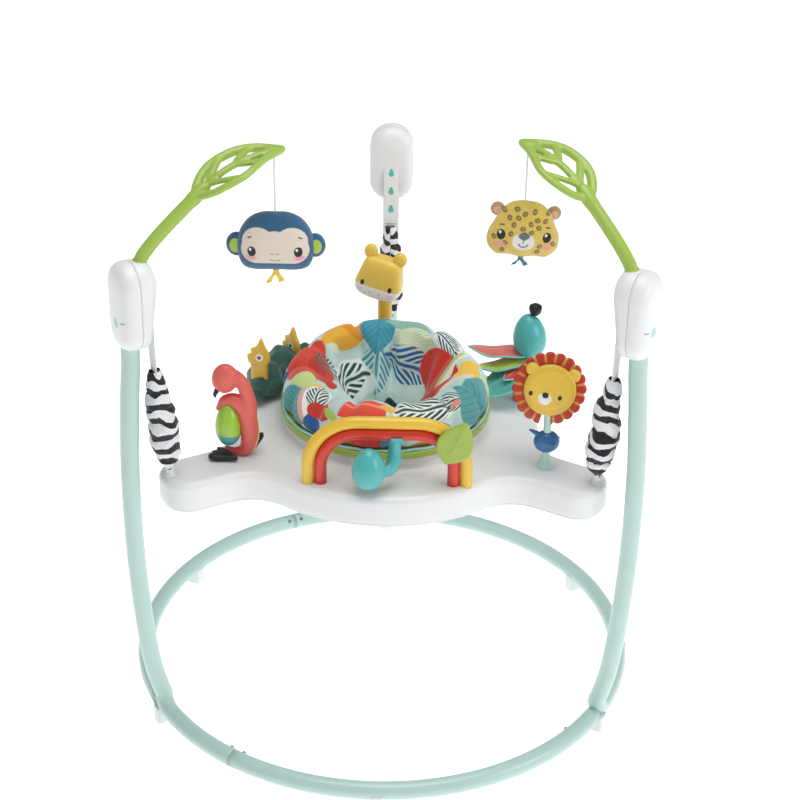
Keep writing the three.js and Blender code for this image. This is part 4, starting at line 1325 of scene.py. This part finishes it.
def monkey_plush():
    finish = plush("monkey_plush_blue", MONKEY_BLUE)
    finish.paint_both("ellipse", (24, 5), (24, 22.5), MONKEY_FACE, soft=0.03)
    finish.paint_both("ellipse", (28, -7), (22, 21), MONKEY_FACE, soft=0.03)
    finish.paint("box", (0, -9), (30, 19), MONKEY_FACE, soft=0.03)
    finish.paint("ellipse", (0, 4), (22, 19), MONKEY_FACE, soft=0.05)
    finish.paint_both("ellipse", (36, -19), (8, 4), "#f3a9b4", soft=0.4)
    finish.paint_both("ellipse", (34, -9.5), (6.3, 7.8), "#23202c", soft=0.06)
    finish.paint_both("ellipse", (34, -6.5), (1.9, 2.3), "#ffffff", about=-2, soft=0.12)
    finish.paint_both("leaf", (37, 12), (1.3, 4.5), "#6b6066", turn_by=70)
    finish.paint_both("ellipse", (4, -12), (3.2, 0.7), MONKEY_LINE, soft=0.2)
    finish.paint("smile", (0, -20), (8, 4), MONKEY_LINE)
    return finish.done()


def build_monkey():
    """A wide rounded head with a heart-topped face and side ears."""
    place = upright("left") @ shift(0, 0, MONKEY["middle"])
    outline = smooth_outline(mirrored([(0, 46), (21, 45), (40, 35), (53, 15), (57, -10), (50, -35), (33, -43),
                                       (0, -43)]))
    head = make("monkey_head", cushion(outline, 21, 19, 2.2, 14, middle=(0, 0)), monkey_plush(), "monkey",
                ["monkey"], place, uv=front_view, plain_back=True)
    ear_cloth = plush("monkey_ear_plush", MONKEY_BLUE).paint_both("ellipse", (59, -6), (8.5, 11), "#b4d24f")
    ears = make("monkey_ears", pair(cushion(oval(15.5, 18.5, 40), 8, 8, 2.2, 8), 57.5, 3, -6),
                ear_cloth.done(), "monkey", place=place, uv=front_view, plain_back=True)
    bow = make("monkey_ribbon", ribbon(((-11, -21), (8, -19)), 9), cloth("yellow_ribbon", "#f2d64e").done(),
               "monkey", place=place @ shift(0, -3, -44))
    hang_string("left", "monkey", MONKEY["string_end"])


LEOPARD_SPOTS = ((-14, 32), (-2, 26), (12, 30), (-24, 19), (-11, 20), (17, 18), (29, 17), (-17, 9), (8, 12),
                 (20, 7), (-3, 4), (10, -1), (-20, -5), (-44, -13), (-27, -20), (25, -22), (22, -31),
                 (-30, -32), (44, -18), (-33, 28), (33, 28))


def leopard_plush():
    finish = plush("leopard_plush_yellow", "#f0d062")
    for index, (x, z) in enumerate(LEOPARD_SPOTS):
        finish.paint("ellipse", (x, z + 2), (4.4, 3.6), "#84733f", turn_by=37 * index, soft=0.2)
        finish.paint("ellipse", (x + 0.6, z + 2), (1.4, 1.2), "#c9ad5a", soft=0.3)
    finish.paint("ellipse", (0, -14.5), (17, 14), "#f1ece9", soft=0.06)
    finish.paint("leaf", (0, -5), (8.5, 7), "#6b6f77", soft=0.1)
    finish.paint("box", (0, -11), (0.8, 6), "#6b6f77", soft=0.2)
    finish.paint("smile", (0, -16), (8, 8), "#6b6f77")
    finish.paint_both("ellipse", (34, -6), (6.4, 8), "#1c1a16", soft=0.06)
    finish.paint_both("ellipse", (34, -2.4), (1.9, 2.3), "#ffffff", about=-1.6, soft=0.12)
    finish.paint_both("ellipse", (35, -21), (7.5, 4.5), "#f2a79c", soft=0.35)
    finish.paint_both("leaf", (34, 9), (1.3, 5), "#6b5a2e", turn_by=78)
    return finish.done()


def build_leopard():
    """A spotted head, broad at the cheeks, with small round ears."""
    place = upright("right") @ shift(0, 0, LEOPARD["middle"]) @ turn(4, "Y")
    outline = smooth_outline(mirrored([(0, 44), (20, 41), (36, 29), (45, 10), (53, -8), (52, -27), (38, -41),
                                       (20, -41), (0, -44)]))
    head = make("leopard_head", cushion(outline, 19, 17, 2.2, 14, middle=(0, -4)), leopard_plush(), "leopard",
                ["leopard"], place, uv=front_view, plain_back=True)
    ear_cloth = plush("leopard_ear_plush", "#c9a070").paint_both("ellipse", (42, 26), (6, 6), "#f0b59a")
    ears = make("leopard_ears", pair(cushion(oval(10.5, 10.5, 32), 6, 6, 2.2, 8), 42, 4, 27),
                ear_cloth.done(), "leopard", place=place, uv=front_view, plain_back=True)
    bow = make("leopard_ribbon", ribbon(((-9, -13), (9, -13)), 8), cloth("blue_ribbon", "#4f8399").done(),
               "leopard", place=place @ shift(0, -2, -45))
    hang_string("right", "leopard", LEOPARD["string_end"])


build_monkey()
build_leopard()


# ---------------------------------------------------------------- toy bar

def arch_path(inset):
    """The left half from its foot to the middle of its top, and its mirror image."""
    corner = BAR["sweep"] - inset
    half, top = BAR["half_span"] - inset, BAR["top"] - inset
    foot = TRAY["top"] - 2
    line = [(-half, 0, foot + (top - corner - foot) * i / 6) for i in range(6)]
    line += [(-half + corner * (1 - cos(a)), 0, top - corner * (1 - sin(a))) for a in range(0, 91, 9)]
    return line + [(-x, y, z) for x, y, z in line[::-1]]


def leaf_line(length, width):
    """A pointed leaf in XZ, its stalk end at the bottom."""
    shares = [i / 20 for i in range(20)]
    half = [(width / 2 * math.sin(math.pi * s ** 0.8) ** 0.85, length * (s - 0.5)) for s in shares]
    return mirrored(half + [(0, length / 2)])


def hook_shell():
    """A saddle that hangs on the red arch, and a bent arm down to the egg."""
    stem = tube(curve([(-3, -2, -8), (-3, -3, -30), (-5, -9, -44), (-12, -17, -51), (-24, -25, -50)], 8),
                lambda s: 8 + 2.6 * math.sin(math.pi * s) ** 0.8, 28)
    section = ((-9, 9.8), (9, 9.8), (10, 11.4), (9, 14), (-9, 14), (-10, 11.4))
    return stem + loft([[(x, r * cos(a), r * sin(a)) for x, r in section] for a in range(182, 359, 8)])


def veined_front(v):
    """Raises a middle rib and side veins on the front of the leaf."""
    if v.y >= 0:
        return v
    rib = 1.2 * bell(v.x, 3)
    veins = 1.2 * abs(math.sin((v.z - abs(v.x)) / 4.5)) * (1 - min(1, abs(v.x) / 30))
    return Vector((v.x, v.y - rib - veins, v.z))


def build_toy_bar():
    place = shift(BAR["x"], BAR["y"], 0)
    for name, inset, material in (("yellow", 0, YELLOW), ("red", BAR_PITCH, RED)):
        make(f"toy_bar_{name}", tube(arch_path(inset), BAR["tube"], 28, ends=False), material, "tray",
             ["bar_inner" if inset else "bar_outer"], place)
    swing = shift(HOOK_X, BAR["y"], BAR_AXIS_Z)
    hook = make("toy_hook", hook_shell(), TEAL, "bar_swinger", ["bar_hook"], swing)
    melted(hook, 0.0012, 4)
    make("hook_egg", egg(EGG["radius"], EGG["half_height"], 64, 32), TEAL, "bar_swinger",
         ["bar_egg"], swing @ shift(EGG["x"], EGG["y"], EGG["z"]))
    leaf = cushion(leaf_line(74, 54), 3.5, 3.5, 5, 8, edge=1.5, middle=(0, -4)).shaped(veined_front)
    pin = shift(SPINNER["x"], BAR["y"] - BAR["tube"], SPINNER["z"])
    make("spinner_leaf", leaf, plastic("leaf_spinner_lime", "#9fb84a", 0.4, 0.15).done(), "bar_leaf",
         ["bar_leaf"], pin @ shift(0, -4.5, 0) @ turn(24, "Y"))
    stub = turned([(0, -6), (5, -6), (5, 5), (0, 6)], 1, 24).moved(turn(90, "X"))
    make("spinner_stub", stub, LIME, "tray", place=pin)


build_toy_bar()


# ---------------------------------------------------------------- lion

# How far the face's features are moved to one side, and the mane's lobes and the opening in its foot.
LION_LOOK = -6
MANE_LOBES, MANE_GAP, MANE_GAP_HALF = 20, 274, 9


def bead_bird_shell():
    """A round bead with a wing, a raised tail and a beak."""
    wing = cushion(oval(9, 6, 32), 4, 4, 2.2, 6).moved(shift(4, -13, 0) @ turn(20, "Y"))
    tail = tube([(-8, 0, 8), (-17, 0, 14), (-26, 0, 19)], lambda s: 6.5 - 4.0 * s, 20, flat=0.8)
    beak = tube([(15, 0, 6), (20, 0, 7)], lambda s: 3.6 - 2.8 * s, 16)
    return ball(20, 16, 18) + wing + tail + beak


def mane_shell():
    """A flat ring of scallops, cut in to the middle behind the chin."""
    outline = []
    for k in range(MANE_LOBES * 12):
        angle = 30 * k / MANE_LOBES
        lobed = 52 + 4 * abs(sin(angle * MANE_LOBES / 2)) ** 0.7
        radius = 30 if abs(angle - MANE_GAP) < MANE_GAP_HALF else lobed
        outline.append((radius * cos(angle), radius * sin(angle)))
    return cushion(outline, 6, 6, 3, 9, edge=1.5, middle=(0, 0))


def mane_plastic():
    finish = plastic("mane_red", "#c13420", 0.42, 0.12)
    for k in range(MANE_LOBES):
        between = 360 * k / MANE_LOBES
        at = polar(50, between)
        finish.paint("box", (at.x, at.y), (9, 1.9), "#cf9a34", turn_by=between, soft=0.3)
    return finish.done()


def lion_face_plastic():
    face = plastic("lion_face_yellow", "#ecc64a", 0.38, 0.15)
    face.paint("ring", (0, 0), (38, 38), "#d9a42e", soft=0.03, strength=0.35)
    face.paint("ellipse", (LION_LOOK, -13), (10, 9), "#f4f2f2", soft=0.08)
    face.paint("ellipse", (LION_LOOK, -6.5), (4.6, 3.4), "#1f1c1a", soft=0.1)
    face.paint_both("ellipse", (22, -8), (3, 3.9), "#2a241c", about=LION_LOOK, soft=0.1)
    face.paint_both("ellipse", (22, -17), (4.5, 3), "#ef9f6a", about=LION_LOOK, soft=0.4, strength=0.5)
    face.paint_both("smile", (3, -14), (3.2, 4), "#55504c", about=LION_LOOK)
    return face.done()


def build_lion():
    foot = shift(*LION, 0)
    z = TRAY["top"]
    stem = turned([(0, z - 0.5), (13, z - 0.5), (12.5, z + 4), (8, z + 12), (6, z + 22), (6, 549), (0, 550)],
                  4, 48)
    make("lion_post", stem, PALE_MINT, "tray", ["lion_stem"], foot)
    bird = make("bead_bird", bead_bird_shell(), BLUE, "lion_bird", ["lion_bird"],
                foot @ shift(0, 0, LION_BIRD_HEIGHT))
    melted(bird, 0.001, 5)
    head = foot @ shift(0, 0, LION_HEAD_HEIGHT) @ turn(-14, "X") @ turn(9, "Y")
    make("lion_mane_ring", mane_shell(), mane_plastic(), "lion", ["lion_mane"],
         head @ shift(0, 10, 0), uv=front_view)
    face = cushion(oval(39, 39, 64), 9, 3, 3.2, 12, edge=2)
    ears = pair(cushion(oval(10, 10, 32), 6, 3, 2.6, 8, edge=1), 31, 1, 27)
    make("lion_face_disc", face + ears, lion_face_plastic(), "lion", ["lion_face"],
         head @ shift(0, 0.2, 0), uv=front_view, plain_back=True)
    make("lion_muzzle", cushion(oval(9.5, 8, 32), 3.5, 2, 2.2, 8), plastic("muzzle_white", "#f0eff2").done(),
         "lion", place=head @ shift(LION_LOOK, -7.6, -14))
    make("lion_nose", ball(4.6, 2.6, 3.2, 24, 12), BLACK, "lion",
         place=head @ shift(LION_LOOK, -10.4, -8))


build_lion()


# ---------------------------------------------------------------- flamingo

def flamingo_shell():
    """A body bent like a C round the ball, with a long neck and a round head."""
    spine = curve([(-24, 0, 36), (-16, 0, 48), (-1, 0, 49), (13, 0, 36), (20, 0, 10), (20, 0, -14),
                   (14, 0, -33), (0, 0, -39), (-14, 0, -35)], 8)
    body = tube(spine, lambda s: 5.5 + 9.0 * math.sin(math.pi * min(1, s * 1.05)) ** 1.3, 28,
                upward=(0, 1, 0))
    neck = tube(curve([(20, 0, 14), (22, 0, 38), (19, 0, 58), (12, 0, 78), (2, 0, 90), (-8, 0, 94)], 8),
                lambda s: 12 - 3 * s, 24)
    return body + neck + ball(20, 15, 24).moved(shift(-14, 0, 86) @ turn(8, "Y"))


def web_shell():
    """One webbed foot, lying flat with its toes towards +Y."""
    outline = smooth_outline(mirrored([(0, -22), (9, -6), (17, 12), (13, 22), (5, 17), (0, 23)]), 5)
    return cushion(outline, 6, 4.5, 3, 7, edge=1.2, middle=(0, 8)).moved(turn(-90, "X"))


def build_flamingo():
    x, y = FLAMINGO
    place = shift(x, y, TRAY["top"] + 44.3)
    bird = make("flamingo_figure", flamingo_shell(), SALMON, "tray", ["flamingo_body"],
                place)
    melted(bird, 0.0014, 8)
    beak = tube(curve([(-26, -4, 68), (-29, -5, 62), (-29, -5, 58)], 5), lambda s: 4.2 - 2.2 * s, 20)
    make("flamingo_beak", beak, BLACK, "tray", place=place)
    two_tone = plastic("ball_two_tone", "#9ecb3f", 0.25, 0.5)
    two_tone.paint("box", (0, -42), (60, 29), "#3f9d9e", turn_by=-6, soft=0.01)
    make("flamingo_egg", egg(20, 35, 56, 28), two_tone.done(), "flamingo_ball",
         ["flamingo_ball"], place @ shift(-11, -3, 10), uv=front_view)
    rail = tube(curve([(29, 1, 34), (33, 1, 12), (33, 1, -14), (27, 1, -34)], 8), 2.2, 14)
    make("flamingo_edge", rail, plastic("pale_yellow", "#e9e27a").done(), "tray",
         place=place)
    front = shift(x - 16, y - 16, TRAY["top"] + 6) @ turn(66)
    rear = shift(x + 29, y + 10, TRAY["top"] + 20) @ turn(-40) @ turn(70, "X") @ Matrix.Scale(0.72, 4)
    make("flamingo_webs", web_shell().moved(front) + web_shell().moved(rear), BLACK, "tray",
         ["flamingo_feet"])


build_flamingo()


# ---------------------------------------------------------------- hedge and lizards

def hedge_shell():
    """A puffed roll of cloth bent along the tray's edge, higher above its middle than below it."""
    start = HEDGE["from"] - 4
    rings = []
    for i in range(61):
        share = i / 60
        ends = math.sin(math.pi * min(max(share, 0.02), 0.98)) ** 0.32
        ring = []
        for k in range(48):
            c, s = cos(360 * k / 48), sin(360 * k / 48)
            spot = Vector((share * 7, c * 1.2, s * 1.2))
            puff = 1 + 0.16 * math.sin(share * 19) + 0.2 * noise.noise(spot * 1.6)
            radial = 30 * ends * puff * c
            up = (35 if s > 0 else 22) * ends * puff * s
            ring.append(polar(HEDGE["radius"] + radial, start + (HEDGE["to"] - start) * share,
                              HEDGE["height"] + up))
        rings.append(ring)
    return loft(rings)


def hedge_cloth():
    finish = cloth("hedge_cloth", "#2e5f56", sheen=0.35, vary=0.14)
    for k in range(16):
        finish.paint("veined", (30 + 11 * k, 10 + 22 * (k % 4)), (8, 17), "#3d7a6a" if k % 2 else "#24524b",
                     turn_by=47 * k, soft=0.08, strength=0.7)
    return finish.done()


def build_hedge():
    def along(v):
        return (math.degrees(math.atan2(v.y, v.x)) - HEDGE["from"]) * 3.7, v.z - TRAY["top"]
    hedge = make("leaf_hedge", hedge_shell(), hedge_cloth(), "tray", ["hedge"], uv=along)


def build_lizards():
    for name, (azimuth, neck) in LIZARDS.items():
        head = [(14, 2), (18, 12), (16, 26), (11, 34), (4, 50), (-1, 40), (-7, 33), (-14, 29), (-13, 22),
                (-20, 17), (-18, 6), (-14, 0)]
        line = smooth_outline([(12, -8)] + [(x, neck + z) for x, z in head] + [(-12, -8)], 5)
        finish = plastic(f"lizard_yellow_{name}", "#efc347", 0.45, 0.1)
        finish.paint("ellipse", (2, neck + 17), (6.4, 6.8), "#f5efe2")
        finish.paint("ellipse", (1.4, neck + 17), (3.1, 3.4), "#453b52")
        finish.paint("ellipse", (0.6, neck + 18.4), (0.9, 0.9), "#ffffff", soft=0.2)
        finish.paint("smile", (-8, neck + 7), (7, 5), "#b98a2c")
        make(f"lizard_figure_{name}", cushion(line, 5, 5, 3, 9, edge=1.2, middle=(0, neck + 14)),
             finish.done(), f"lizard_{name}", [f"lizard_{name}"],
             turn(azimuth) @ shift(HEDGE["radius"], 0, LIZARD_PIVOT_HEIGHT) @ turn(180), uv=front_view)


build_hedge()
build_lizards()


# ---------------------------------------------------------------- giraffe

def giraffe_plastic():
    finish = plastic("giraffe_skin", "#ecc753", 0.4, 0.12)
    finish.paint("box", (0, -20), (60, 22), "#f3eeea", soft=0.012)
    finish.paint_both("ellipse", (24, 6), (3.3, 5), "#2a1d12", soft=0.12)
    finish.paint_both("ellipse", (27, -6), (5, 3), "#f3c0c4", soft=0.4, strength=0.6)
    finish.paint_both("ellipse", (8, -7), (1.6, 2.2), "#cfc6c4", soft=0.3)
    return finish.done()


def build_giraffe():
    """A long head, turned and tilted a little, with two round ears on a plain neck."""
    foot = shift(*GIRAFFE, 0)
    z = TRAY["top"]
    neck = turned([(0, z - 0.5), (16, z - 0.5), (16, z + 6), (12, z + 22), (11.8, 574), (0, 575)], 4, 48)
    make("giraffe_post", neck, YELLOW, "tray", ["giraffe_neck"], foot @ shift(7, 0, 0))
    outline = smooth_outline(mirrored([(0, -20), (23, -18), (36, -10), (39, 3), (35, 24), (30, 44), (22, 50),
                                       (0, 52)]), 6)
    head = cushion(outline, 23, 23, 3.2, 16, edge=6, middle=(0, 14))
    ears = pair(cushion(oval(11.5, 12.5, 32), 8, 7, 2.4, 8), 25.5, -4, 56)
    make("giraffe_face", head + ears, giraffe_plastic(), "giraffe", ["giraffe_head"],
         foot @ shift(-4, 0, GIRAFFE_HEAD_HEIGHT) @ turn(-14) @ turn(-6, "X") @ turn(12, "Y"),
         uv=front_view, plain_back=True)


build_giraffe()


# ---------------------------------------------------------------- bird and cloth leaves

# The cloth leaves under the bird: colour, length, width, direction, how far the tip dips, and height.
CLOTH_LEAVES = {"coral": ("#e9786c", 108, 46, 160, 5, 24), "lime": ("#b3d35c", 92, 46, 176, 12, 11),
                "aqua": ("#5cb6b2", 112, 72, 204, 23, 2), "red": ("#cf4436", 62, 34, 224, 12, 4)}


def curled(v):
    """Bends a cloth leaf up at its sides and in waves along its length."""
    return Vector((v.x, v.y + 0.0035 * v.x * v.x + 2.0 * math.sin(v.z / 11), v.z))


def build_cloth_leaf(name, colour, length, width, azimuth, drop, lift):
    x, y, z = WING_ROOT
    place = shift(x, y, z + lift) @ turn(azimuth) @ turn(drop, "Y") @ shift(length / 2 - 8, 0, 0)
    place = place @ turn(90, "Z") @ turn(90, "X") @ turn(180, "Z")
    finish = cloth(f"leaf_cloth_{name}", colour, vary=0.1)
    finish.paint("box", (0, 0), (0.8, length / 2 - 6), "#ffffff", soft=0.2, strength=0.25)
    line = leaf_line(length, width)
    leaf = make(f"cloth_leaf_{name}", cushion(line, 3.5, 3.5, 2.4, 9, middle=(0, 0)).shaped(curled),
                finish.done(), "tray", ["bird_wings"] if name == "coral" else (), place,
                uv=front_view)
    border = [curled(Vector((px, 0, pz))) for px, pz in line + line[:1]]
    make(f"leaf_border_{name}", tube(border, 1.6, 10, ends=False),
         cloth(f"aqua_border_{name}", "#7fd6dc", pitch=0.8).done(), "tray", place=place)


def topknot_shell():
    """A round knob with a crown of ten short leaning tufts."""
    knob = ball(10, 10, 10, 32, 16).moved(shift(0, 0, 46))
    for k in range(10):
        knob += tube([polar(9, 36 * k, 46), polar(9.4, 36 * k + 8, 52), polar(4, 36 * k + 16, 55.5)], 1.3, 10)
    return knob.moved(shift(7, 0, 0))


def build_bird():
    place = shift(*BIRD)
    make("perched_bird", egg(27, 38, 56, 28), TEAL, "bird", ["bird_body"],
         place @ turn(-6, "Y"))
    make("bird_topknot", topknot_shell(), BLACK, "bird", ["bird_crest"], place)
    for name, settings in CLOTH_LEAVES.items():
        build_cloth_leaf(name, *settings)
    x, y, _ = WING_ROOT
    z = TRAY["top"]
    post = turned([(0, z), (13, z), (11, z + 6), (9, 500), (0, 512)], 3, 40)
    make("leaf_post", post, TEAL, "tray", place=shift(x - 9, y - 5, 0))
    make("bird_perch", tube([(x, y + 2, 500), (BIRD[0], BIRD[1], 530)], 6, 20), TEAL, "tray")


build_bird()
